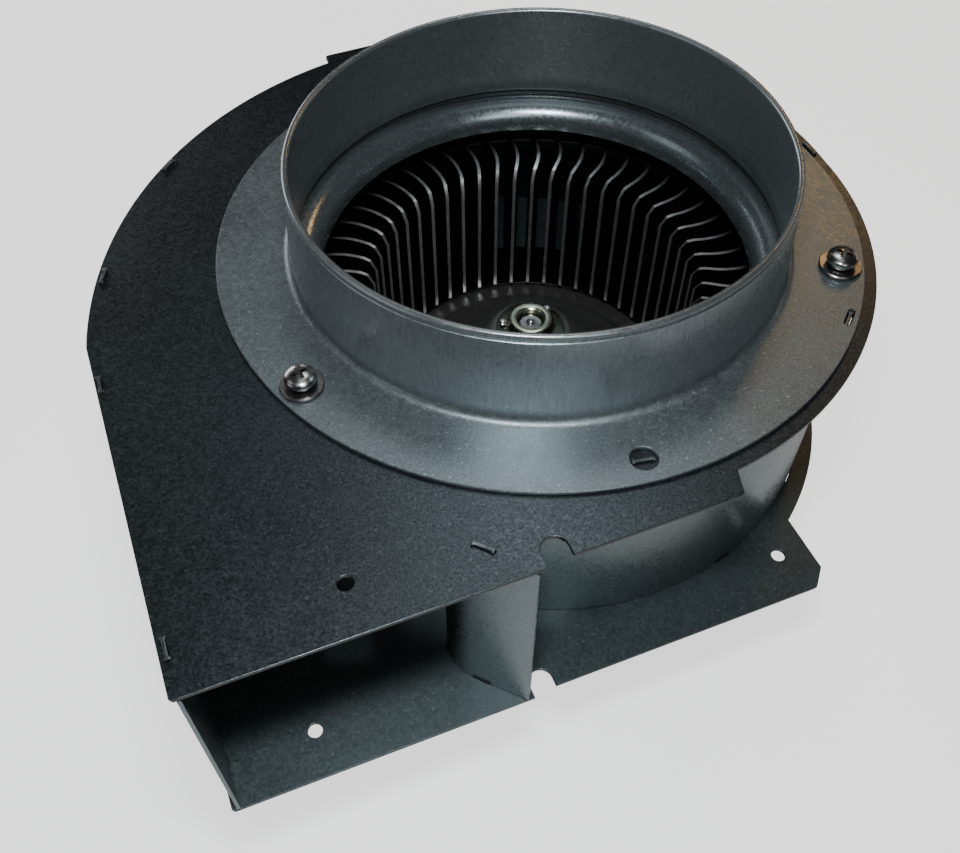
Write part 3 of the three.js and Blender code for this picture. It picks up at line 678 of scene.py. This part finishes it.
def screw_mesh(name, shank, head, height, below):
    """A pan head with a cross recess, resting on z = 0."""
    side = height * 0.32
    dome = [(0, -below), (shank - 0.4, -below), (shank, -below + 0.5), (shank, 0), (head - 0.15, 0),
            (head, 0.15), (head, side)]
    for degrees in (14, 28, 42, 56, 70, 82):
        out, rise = polar(1, degrees)
        dome.append((head * out, side + (height - side) * rise))
    dome.append((0, height))
    wide, narrow = head * 0.56, head * 0.13
    bars = []
    for turn_over in (0, math.pi / 2):
        spin = Matrix.Rotation(turn_over, 3, "Z")
        work = bmesh.new()
        rims = []
        for x, y, z in ((wide, narrow, height + 0.3), (wide * 0.45, narrow * 0.8, height * 0.25)):
            corners = (-x, -y, z), (x, -y, z), (x, y, z), (-x, y, z)
            rims.append([work.verts.new(spin @ Vector(corner) * MM) for corner in corners])
        upper, lower = rims
        work.faces.new(upper[::-1])
        work.faces.new(lower)
        for i, j in ((0, 1), (1, 2), (2, 3), (3, 0)):
            work.faces.new((upper[i], upper[j], lower[j], lower[i]))
        bars.append(closed_mesh("recess bar", work))
    return with_holes(lathe(name, dome, 40), bars)


def split_washer_mesh():
    """A spring washer: nearly a full turn of square wire, its ends cut and sprung apart."""
    wire = [(2.45, 0.05), (2.6, -0.1), (3.65, -0.1), (3.8, 0.05), (3.8, 0.65), (3.65, 0.8), (2.6, 0.8),
            (2.45, 0.65)]
    work = bmesh.new()
    rows = []
    for i in range(41):
        c, s = polar(1, 8 + 344 * i / 40)
        lift = 0.35 * i / 40
        rows.append([work.verts.new((r * c * MM, r * s * MM, (z + lift) * MM)) for r, z in wire])
    for row, after in zip(rows, rows[1:]):
        for j in range(8):
            work.faces.new((row[j - 1], row[j], after[j], after[j - 1]))
    work.faces.new(rows[0][::-1])
    work.faces.new(rows[-1])
    return closed_mesh("spring washer", work)


def clouded(name, dark, light, clouds, specks, roughness, metallic, strength, depth):
    """Two colours in soft patches under a fine speckle, which roughens the surface and raises it."""
    made, tree, shader = new_material(name)
    size, detail, low, high = clouds
    share = ramp(tree, noise(tree, on_piece(tree), size, detail), low, high)
    fine = noise(tree, on_piece(tree), *specks)
    rough = ramp(tree, fine, 0, 1, *roughness)
    join_up(tree, shader, blend_colours(tree, share, dark, light), rough, metallic, fine, strength, depth)
    return made


def plated(name, colour, tint, roughness):
    """Plated steel: smooth, a little cloudy, darker in patches where it has been handled."""
    return clouded(name, colour, tint, (260, 4, 0.35, 0.65), (2400, 2), (roughness - 0.06, roughness + 0.1),
                   1.0, 0.12, 0.00003)


screw_plating = plated("dark nickel plating", (0.42, 0.415, 0.40, 1), (0.28, 0.275, 0.27, 1), 0.22)
washer_plating = plated("washer plating", (0.26, 0.25, 0.245, 1), (0.16, 0.155, 0.155, 1), 0.28)
screw_places = [(*polar(SCREW_CIRCLE, degrees), 0, spin) for degrees, spin in zip(SCREW_TURNS, (12, 35, 70))]
washer_profile = [(2.35, 137.15), (2.5, 137.0), (6.0, 137.0), (6.2, 137.2), (6.2, 137.75), (5.95, 138.0),
                  (2.5, 138.0), (2.35, 137.85)]
washers = copies("flange_flat_washers", lathe("washer", washer_profile, 48), screw_places, washer_plating)
spring_mesh = split_washer_mesh()
spring_mesh.transform(Matrix.Translation((0, 0, 138.35 * MM)))
springs = copies("flange_spring_washers", spring_mesh, screw_places, washer_plating)
head_mesh = screw_mesh("pan head screw", 2, 4.5, 2.8, 8)
head_mesh.transform(Matrix.Translation((0, 0, 139.5 * MM)))
screws = copies("flange_pan_screws", head_mesh, screw_places, screw_plating)
for piece, kind in ((washers, "flange_washer"), (springs, "flange_spring_washer"), (screws, "flange_screw")):
    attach(piece, "casing")
    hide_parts(*[f"{kind}_{i}" for i in (1, 2, 3)])


# ---- Impeller blades ----
# Fifty-one thin steel blades, pressed from one strip, curved back in the middle and rounded at
# the inner top corner. A ring at the outer top edge and one under the feet hold them.

def blade_ring_tree():
    """One curved blade from a grid, thickened, then copied evenly round the shaft's axis."""
    tree, given, out = geometry_tree("blade ring", [
        ("Blades", "Int", 51), ("Inner radius", "Float", 0.0509), ("Outer radius", "Float", 0.0712),
        ("Foot", "Float", 0.0653), ("Top", "Float", 0.1188), ("Bow", "Float", 0.0366),
        ("Thickness", "Float", 0.0011), ("Corner", "Float", 0.004), ("Material", "Material", None)])

    def calc(how, *values):
        return maths(tree, how, *values)

    width = calc("SUBTRACT", given["Outer radius"], given["Inner radius"])
    depth = calc("SUBTRACT", given["Top"], given["Foot"])
    grid = add(tree, "GeometryNodeMeshGrid", {"Size X": 1, "Size Y": 1, "Vertices X": 11, "Vertices Y": 9})
    at = add(tree, "ShaderNodeSeparateXYZ", {"Vector": add(tree, "GeometryNodeInputPosition").outputs[0]})
    u = calc("ADD", at.outputs["X"], 0.5)
    v = calc("POWER", calc("ADD", at.outputs["Y"], 0.5), 0.45)
    # The top edge drops towards the inner corner along a quarter of an ellipse.
    inward = calc("MAXIMUM", calc("SUBTRACT", given["Corner"], calc("MULTIPLY", u, width)), 0.0)
    ratio = calc("DIVIDE", inward, given["Corner"])
    curve = calc("SQRT", calc("SUBTRACT", 1.0, calc("MULTIPLY", ratio, ratio)))
    drop = calc("MULTIPLY", given["Corner"], calc("SUBTRACT", 1.0, curve))
    radius = calc("ADD", given["Inner radius"], calc("MULTIPLY", u, width))
    bend = calc("MULTIPLY", calc("MULTIPLY", u, calc("SUBTRACT", 1.0, u)), 4.0)
    turn_back = calc("MULTIPLY", calc("MULTIPLY", bend, given["Bow"]), -1.0)
    x = calc("MULTIPLY", radius, calc("COSINE", turn_back))
    y = calc("MULTIPLY", radius, calc("SINE", turn_back))
    z = calc("ADD", given["Foot"], calc("MULTIPLY", v, calc("SUBTRACT", depth, drop)))
    spot = add(tree, "ShaderNodeCombineXYZ", {"X": x, "Y": y, "Z": z})
    sheet = add(tree, "GeometryNodeSetPosition", {"Geometry": grid.outputs[0], "Position": spot.outputs[0]})
    grown = add(tree, "GeometryNodeExtrudeMesh", {
        "Mesh": sheet.outputs[0], "Offset Scale": given["Thickness"], "Individual": False})
    backside = add(tree, "GeometryNodeFlipFaces", {"Mesh": sheet.outputs[0]})
    both = add(tree, "GeometryNodeJoinGeometry")
    tree.links.new(grown.outputs["Mesh"], both.inputs[0])
    tree.links.new(backside.outputs[0], both.inputs[0])
    closed = add(tree, "GeometryNodeMergeByDistance", {"Geometry": both.outputs[0], "Distance": 0.00001})
    rim = add(tree, "GeometryNodeMeshCircle", {"Vertices": given["Blades"], "Radius": 0.00001})
    half_step = calc("DIVIDE", math.pi, given["Blades"])
    step = calc("MULTIPLY", half_step, 2.0)
    index = add(tree, "GeometryNodeInputIndex").outputs[0]
    spin = add(tree, "ShaderNodeCombineXYZ", {"Z": calc("MULTIPLY_ADD", index, step, half_step)})
    centre = add(tree, "GeometryNodeSetPosition", {"Geometry": rim.outputs[0], "Position": (0, 0, 0)})
    ring = add(tree, "GeometryNodeInstanceOnPoints", {
        "Points": centre.outputs[0], "Instance": closed.outputs[0], "Rotation": spin.outputs[0]})
    return finished(tree, ring, given, out)


blade_steel, tree, shader = new_material("blade steel")
# Painted shade: the blade faces are given a nearly black colour, standing in for the shade inside the wheel.
coat = place_group(tree, zinc_skin, {
    "Dark": (0.004, 0.004, 0.005, 1), "Light": (0.016, 0.017, 0.018, 1), "Crystal contrast": 0.05,
    "Clouding": 0.7, "Grit": 0.3, "Flecks": 0.0, "Roughness": 0.42})
# Painted highlight: the blades' cut inner edges and upward top edges are painted light grey, far brighter
# than the faces, and the inner edges near-white by the feet as a painted glint.
place = on_piece(tree)
reach = from_shaft(tree, place)
height = along_axis(tree, place, "Z")
lift = along_axis(tree, add(tree, "ShaderNodeNewGeometry").outputs["True Normal"], "Z")
inboard, near_top = ramp(tree, reach, 0.0690, 0.0600), ramp(tree, height, 0.100, 0.105)
upward_face = ramp(tree, lift, 0.2, 0.4)
top_edge = maths(tree, "MULTIPLY", maths(tree, "MULTIPLY", upward_face, inboard), near_top)
inner_edge, off_ring = ramp(tree, reach, 0.05125, 0.05100), ramp(tree, height, 0.0664, 0.0670)
side_edge = maths(tree, "MULTIPLY", inner_edge, off_ring)
sheared = maths(tree, "MAXIMUM", side_edge, top_edge)
nicks = noise(tree, place, 420, 3)
# The painted highlight's grey, in patches, and the near-white of the painted glint by the feet.
patchy = blend_colours(tree, nicks, (0.20, 0.20, 0.20, 1), (0.52, 0.52, 0.51, 1))
foot_glint = ramp(tree, height, 0.0715, 0.0675)
bright = blend_colours(tree, foot_glint, patchy, (0.95, 0.96, 0.96, 1))
colour = blend_colours(tree, sheared, coat["Color"], bright)
join_up(tree, shader, colour, coat["Roughness"], 0.9, nicks, 0.15)

blades = evaluate("blades", blade_ring_tree(), {"Material": blade_steel})
end_ring = lathe("end ring", [
    (70.9, 113.5), (71.1, 113.3), (71.8, 113.3), (72.0, 113.5), (72.0, 117.0), (71.8, 117.3), (71.1, 117.3),
    (70.9, 117.0)])
foot_ring = lathe("foot ring", [
    (50.9, 65.45), (51.05, 65.3), (71.05, 65.3), (71.2, 65.45), (71.2, 66.15), (71.05, 66.3), (51.05, 66.3),
    (50.9, 66.15)])
blade_cage = show("impeller_blade_ring", joined(
    "impeller_blade_ring", blades, end_ring, foot_ring), blade_steel)
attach(blade_cage, "impeller")
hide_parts("impeller_blade_cage")


# ---- Impeller back plate ----
# A dished disc of 1 mm steel: a flat rim under the blades, then a step and a shallow cone that
# carries the hub high in the eye, clear of the motor's nose.

disc_steel, tree, shader = new_material("back plate steel")
coat = place_group(tree, zinc_skin, {"Dark": (0.13, 0.127, 0.122, 1), "Light": (0.26, 0.255, 0.245, 1),
                                     "Clouding": 0.6, "Grit": 0.2, "Flecks": 0.0, "Roughness": 0.42})
join_up(tree, shader, coat["Color"], coat["Roughness"], 0.9, coat["Height"], 0.3)

disc_upper = [(71.2, 64.8), (71.0, 65.0), (46, 65.0), (44.6, 65.3), (43.4, 66.0), (40, 69.4), (36.5, 73.6),
              (34, 76.6), (32.2, 78.4), (30, 79.8), (26, 82.9), (20, 88.1), (14, 92.9), (12.5, 93.5),
              (6.7, 93.5)]
disc_lower = [(r, z - 1) for r, z in disc_upper[1:]][::-1] + [(71.2, 64.2)]
disc = show("impeller_back_plate_disc", lathe(
    "impeller_back_plate_disc", disc_upper + disc_lower, 160), disc_steel)
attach(disc, "impeller")
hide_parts("impeller_back_plate")


# ---- Hub, rivets and shaft ----
# A turned steel hub with yellow zinc plating, riveted through its foot to the back plate and
# held on the motor's bright ground shaft by a set screw.

hub_zinc = plated("yellow zinc plating", (0.50, 0.50, 0.36, 1), (0.40, 0.44, 0.36, 1), 0.22)
bright_steel = plated("bright turned steel", (0.48, 0.48, 0.48, 1), (0.38, 0.38, 0.39, 1), 0.16)
hub_profile = [(4.3, 80.4), (4.5, 80.2), (6.0, 80.2), (6.2, 80.4), (6.2, 94.0), (11.2, 94.0), (11.5, 94.2),
               (11.5, 94.7), (11.2, 94.95), (8.6, 95.2), (7.6, 95.8), (7.2, 96.6), (7.2, 98.7), (7.05, 99.0),
               (6.7, 99.2), (5.2, 99.2), (4.9, 99.1), (4.3, 98.5)]
hub = show("impeller_hub_turned", lathe("impeller_hub_turned", hub_profile, 72), hub_zinc)
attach(hub, "impeller")
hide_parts("impeller_hub")

rivet_profile = [(0, 91.4), (1.2, 91.4), (1.7, 91.8), (1.7, 92.2), (1.0, 92.4), (1.0, 95.8), (1.7, 95.9),
                 (1.65, 96.2), (1.3, 96.5), (0.7, 96.68), (0, 96.7)]
rivet_places = [(*polar(9.4, 30 + 120 * i), 0, 0) for i in range(3)]
rivets = copies("hub_rivet_heads", lathe("rivet", rivet_profile, 24), rivet_places, bright_steel)
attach(rivets, "impeller")
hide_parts("hub_rivet_1", "hub_rivet_2", "hub_rivet_3")

shaft_profile = [(0, 3.7), (3.5, 3.7), (4, 4.2), (4, 96.4), (3.4, 97.0), (1.6, 97.0), (1.1, 96.2), (0, 95.6)]
shaft = show("motor_shaft_ground", lathe("motor_shaft_ground", shaft_profile, 48), bright_steel)
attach(shaft, "impeller")
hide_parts("motor_shaft")

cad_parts["hub_set_screw"].material_slots[0].material = screw_plating


# ---- Motor ----
# A capacitor motor under the case. A stack of varnished steel laminations holds the copper
# windings, between two die-cast aluminium covers that four long bolts pull together.

def turned(loop, degrees):
    c, s = math.cos(math.radians(degrees)), math.sin(math.radians(degrees))
    return [(x * c - y * s, x * s + y * c) for x, y in loop]


def mottled(name, dark, light, size, roughness, metallic, strength=0.2):
    """A surface clouded at one scale, with a fine pebbled relief."""
    return clouded(name, dark, light, (size, 5, 0.3, 0.7), (1300, 3), (roughness - 0.08, roughness + 0.12),
                   metallic, strength, 0.00006)


def layered(name, dark, light, lines, roughness, metallic):
    """Thin layers one on another along the shaft, as in a lamination stack or a wound coil."""
    made, tree, shader = new_material(name)
    layers = noise(tree, stretched(tree, on_piece(tree), (0.05, 0.05, 1)), lines, 2)
    share = ramp(tree, layers, 0.35, 0.65)
    rough = ramp(tree, layers, 0, 1, roughness - 0.05, roughness + 0.1)
    join_up(tree, shader, blend_colours(tree, share, dark, light), rough, metallic, layers, 0.4, 0.0001)
    return made


cast_aluminium = mottled(
    "die-cast aluminium", (0.30, 0.31, 0.32, 1), (0.46, 0.47, 0.48, 1), 90, 0.46, 0.85)
laminations = layered(
    "varnished laminations", (0.025, 0.025, 0.028, 1), (0.11, 0.11, 0.115, 1), 1800, 0.40, 0.7)
enamelled_copper = layered(
    "enamelled copper wire", (0.20, 0.06, 0.02, 1), (0.52, 0.20, 0.07, 1), 2400, 0.34, 0.7)
for node_name, finish in (("rotor_core", laminations), ("upper_winding", enamelled_copper),
                          ("lower_winding", enamelled_copper), ("upper_bearing", bright_steel),
                          ("lower_bearing", bright_steel)):
    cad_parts[node_name].material_slots[0].material = finish

BOLT_CIRCLE, BOLT_TURNS = 46.5, (45, 135, 225, 315)
stack_profile = [(24.3, 16.1), (24.4, 16), (41.9, 16)]
for layer in range(26):
    low = 16.1 + layer
    stack_profile += [(42, low), (42, low + 0.75), (41.88, low + 0.8), (41.88, low + 0.95)]
stack_profile = stack_profile[:-2] + [(41.9, 42), (24.4, 42), (24.3, 41.9)]
stack = show("stator_lamination_stack", lathe("stator_lamination_stack", stack_profile, 120), laminations)
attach(stack, "casing")
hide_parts("stator_core")


def bolt_ears(low, high):
    """The four ears of a motor cover, with a hole for each through bolt."""
    ear = [(39, -4)] + arc((BOLT_CIRCLE, 0), 5, -126.9, 126.9, 9) + [(39, 4)]
    hole = circle(BOLT_CIRCLE, 0, SCREW_HOLE)
    return [sheet_mesh("ear", [turned(ear, t), turned(hole, t)], low, high, 0.4) for t in BOLT_TURNS]


upper_profile = [(38.5, 42.5), (38.7, 42.3), (41.8, 42.3), (42, 42.5)] + arc((40.4, 52.4), 1.6, 0, 90, 15)
upper_profile += arc((20.0, 57.0), 3.0, 270, 180, 15) + arc((15.5, 73.5), 1.5, 0, 90, 15)
upper_profile += [(6.8, 75), (6.5, 74.7), (6.5, 73.3), (11.3, 73.3), (11.3, 51), (38.5, 51)]
arm = [(36, -7.5)] + arc((MOUNT_CIRCLE, 0), 9, -123.6, 123.6, 8) + [(36, 7.5)]
eye = circle(MOUNT_CIRCLE, 0, 5.3)
arms = [sheet_mesh("arm", [turned(arm, t), turned(eye, t)], 51, 54, 0.5) for t in MOUNT_TURNS]
upper_cover = show("motor_upper_cover_casting", joined(
    "motor_upper_cover_casting", lathe("cover", upper_profile, 120), *arms, *bolt_ears(42.3, 47.3)),
    cast_aluminium)

lower_profile = [(0, 0.8), (10.6, 0.8), (11.6, 0.7), (12.4, 0.1), (12.8, 0)]
lower_profile += arc((40.4, 1.6), 1.6, 270, 360, 15)
lower_profile += [(42, 15.5), (41.8, 15.7), (38.7, 15.7), (38.5, 15.5), (38.5, 3), (14.5, 3), (14.5, 11),
                  (11.3, 11), (11.3, 3), (0, 3)]
lower_cover = show("motor_lower_cover_casting", joined(
    "motor_lower_cover_casting", lathe("cover", lower_profile, 120), *bolt_ears(10.7, 15.7)), cast_aluminium)
for piece, node_name in ((upper_cover, "motor_upper_bracket"), (lower_cover, "motor_lower_bracket")):
    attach(piece, "casing")
    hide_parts(node_name)

bolt_mesh = screw_mesh("through bolt", 2, 3.6, 3, 38.6)
bolt_mesh.transform(Matrix.Translation((0, 0, 47.6 * MM)))
bolt_places = [(*polar(BOLT_CIRCLE, t), 0, t + 20) for t in BOLT_TURNS]
bolts = copies("motor_through_bolts", bolt_mesh, bolt_places, bright_steel)
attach(bolts, "casing")
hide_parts(*[f"motor_through_bolt_{i}" for i in (1, 2, 3, 4)])


# ---- Motor mounts ----
# Three soft rubber grommets sit in the arms of the upper cover. A threaded stud from the case goes
# down through each, with a flanged nut below, so that the motor's hum doesn't reach the case.

rubber = mottled(
    "grommet rubber", (0.012, 0.012, 0.013, 1), (0.032, 0.031, 0.030, 1), 300, 0.62, 0.0, 0.35)
grommet_profile = [(2.4, 48.0), (2.7, 47.7)]
for centre, radius, first, last, step in (
        ((7.0, 48.7), 1.0, 270, 360, 20), ((7.3, 50.0), 0.7, 0, 90, 30), ((5.5, 51.2), 0.5, 270, 180, 30),
        ((5.5, 53.8), 0.5, 180, 90, 30), ((7.1, 55.2), 0.9, 270, 360, 20), ((6.6, 58.3), 1.4, 0, 90, 15)):
    grommet_profile += arc(centre, radius, first, last, step)
grommet_profile += [(2.7, 59.7), (2.4, 59.4)]
mount_places = [(*polar(MOUNT_CIRCLE, t), 0, t) for t in MOUNT_TURNS]
grommets = copies("motor_rubber_grommets", lathe("grommet", grommet_profile, 40), mount_places, rubber)

stud_profile = [(0, 40.4), (1.5, 40.4), (1.7, 40.7)]
for thread in range(27):
    root = 40.9 + 0.7 * thread
    stud_profile += [(1.72, root), (2.0, root + 0.25), (2.0, root + 0.35)]
stud_profile += [(1.75, 59.8), (2.0, 60.2), (2.0, 61.5), (3.8, 61.5), (4.0, 61.7), (4.0, 62.3), (3.6, 62.6),
                 (0, 62.7)]
studs = copies("motor_mount_studs", lathe("stud", stud_profile, 28), mount_places, bright_steel)

hexagon = [polar(3.9, degrees) for degrees in range(0, 360, 60)]
flange_profile = [(2.35, 46.4), (4.6, 46.4), (5, 46.7), (5, 47.2), (4.8, 47.4), (2.35, 47.4)]
nut_mesh = joined("nut", sheet_mesh("hexagon", [hexagon, circle(0, 0, SCREW_HOLE)], 43.2, 46.9, 0.35),
                  lathe("nut flange", flange_profile, 36))
nuts = copies("motor_mount_nuts", nut_mesh, mount_places, bright_steel)
for piece, kind, slot_name in (
        (grommets, "motor_grommet", "grommet_rubber"), (studs, "motor_stud", "bright_steel"),
        (nuts, "motor_nut", "bright_steel")):
    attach(piece, "casing")
    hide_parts(*[f"{kind}_{i}" for i in (1, 2, 3)])


# ---- Terminal block ----
# Three screw terminals in a moulded block of cream plastic under the motor-side plate. The wires
# go in from the side, and the brass screws are reached from below.

cream_plastic = mottled(
    "cream terminal plastic", (0.50, 0.47, 0.40, 1), (0.58, 0.55, 0.47, 1), 60, 0.44, 0.0, 0.12)
brass = plated("terminal brass", (0.62, 0.44, 0.16, 1), (0.50, 0.36, 0.15, 1), 0.26)
block_outline = [(42, 45.6), (42.6, 45), (67.4, 45), (68, 45.6), (68, 58.4), (67.4, 59), (42.6, 59),
                 (42, 58.4)]
wells = []
for middle in (47, 55, 63):
    wells.append(pin(middle, 54.5, 2.2, 44, 51.7, 0.02, 24))
    mouth = [(middle - 2.5, 43), (middle + 2.5, 43), (middle + 2.5, 48), (middle - 2.5, 48)]
    wells.append(sheet_mesh("wire mouth", [mouth], 49.7, 55.7, 0.1))
terminal = show("terminal_block_moulding", with_holes(
    sheet_mesh("terminal_block_moulding", [block_outline], 47.7, 59.7, 0.5), wells), cream_plastic)
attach(terminal, "casing")
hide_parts("terminal_block")

cheese_head = lathe("terminal screw", [
    (0, 48.7), (1.5, 48.7), (1.8, 49.0), (1.8, 51.2), (1.6, 51.4), (0, 51.4)], 28)
driver_slot = sheet_mesh("driver slot", [[(-3, -0.3), (3, -0.3), (3, 0.3), (-3, 0.3)]], 47, 49.5, 0.02)
slotted = with_holes(cheese_head, [driver_slot])
terminal_places = [(47, 54.5, 0, 20), (55, 54.5, 0, 75), (63, 54.5, 0, 50)]
terminal_screws = copies("terminal_brass_screws", slotted, terminal_places, brass)
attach(terminal_screws, "casing")
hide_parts("terminal_screw_1", "terminal_screw_2", "terminal_screw_3")


# ---- Floor and light ----
# A pale floor and backdrop, whose glow is for the camera only. One small key lamp stands over the
# outlet, with weaker and larger lamps on every side and a narrow warm one at the back right.

floor_mesh = bpy.data.meshes.new("floor")
floor_mesh.from_pydata([(-6, -6, 0), (6, -6, 0), (6, 6, 0), (-6, 6, 0)], [], [(0, 1, 2, 3)])
paper, tree, shader = new_material("pale floor")
shader.inputs["Base Color"].default_value = (0.86, 0.86, 0.85, 1)
shader.inputs["Roughness"].default_value = 0.9
shader.inputs["Emission Color"].default_value = (1, 1, 1, 1)
seen = add(tree, "ShaderNodeLightPath").outputs["Is Camera Ray"]
tree.links.new(maths(tree, "MULTIPLY", seen, 1.3), shader.inputs["Emission Strength"])
floor = show("floor", floor_mesh, paper)
floor.visible_diffuse = False


def lamp(name, place, aim, size, watts, colour=(0.92, 0.98, 1.0)):
    data = bpy.data.lights.new(name, "AREA")
    data.shape = "RECTANGLE"
    data.size, data.size_y = size
    data.energy = watts
    data.color = colour
    made = bpy.data.objects.new(name, data)
    made.location = place
    made.rotation_euler = (Vector(aim) - Vector(place)).to_track_quat("-Z", "Y").to_euler()
    bpy.context.scene.collection.objects.link(made)


lamp("key", (-0.09, -0.171, 0.389), (-0.02, 0.0, 0.12), (0.05, 0.035), 0.92, (0.94, 0.985, 1.0))
lamp("rear sheen", (0.147, 0.25, 0.80), (0, -0.05, 0.13), (0.18, 0.18), 0.62)
lamp("rear fill", (0.10, 0.45, 0.80), (0, 0, 0.13), (0.25, 0.25), 0.22)
lamp("front fill", (-0.06, -0.60, 0.50), (0, -0.08, 0.14), (0.25, 0.20), 0.6)
lamp("left fill", (-0.6, 0.1, 0.6), (0, 0, 0.12), (0.30, 0.30), 0.25)
lamp("high fill", (0, 0, 1.2), (0, 0, 0.12), (0.40, 0.40), 0.42, (0.95, 0.98, 1.0))
lamp("warm panel", (0.53, 0.43, 0.60), (0.09, -0.02, 0.135), (0.10, 0.16), 0.45, (1.0, 0.58, 0.24))
lamp("back soft", (-0.5, 1.3, 0.45), (0, 0, 0.1), (0.9, 0.5), 6, (0.96, 0.98, 1.0))
lamp("right soft", (1.3, 0.2, 0.35), (0, 0, 0.1), (0.7, 0.4), 0.7, (1.0, 0.88, 0.76))
lamp("left soft", (-1.3, -0.1, 0.35), (0, 0, 0.1), (0.7, 0.4), 1.1, (0.96, 0.98, 1.0))
world = bpy.data.worlds.new("studio")
world.use_nodes = True
sky = world.node_tree.nodes["Background"]
sky.inputs["Color"].default_value = (0.93, 0.94, 0.95, 1)
seen = add(world.node_tree, "ShaderNodeLightPath").outputs["Is Camera Ray"]
world.node_tree.links.new(ramp(world.node_tree, seen, 0, 1, 0.03, 1.0), sky.inputs["Strength"])
bpy.context.scene.world = world
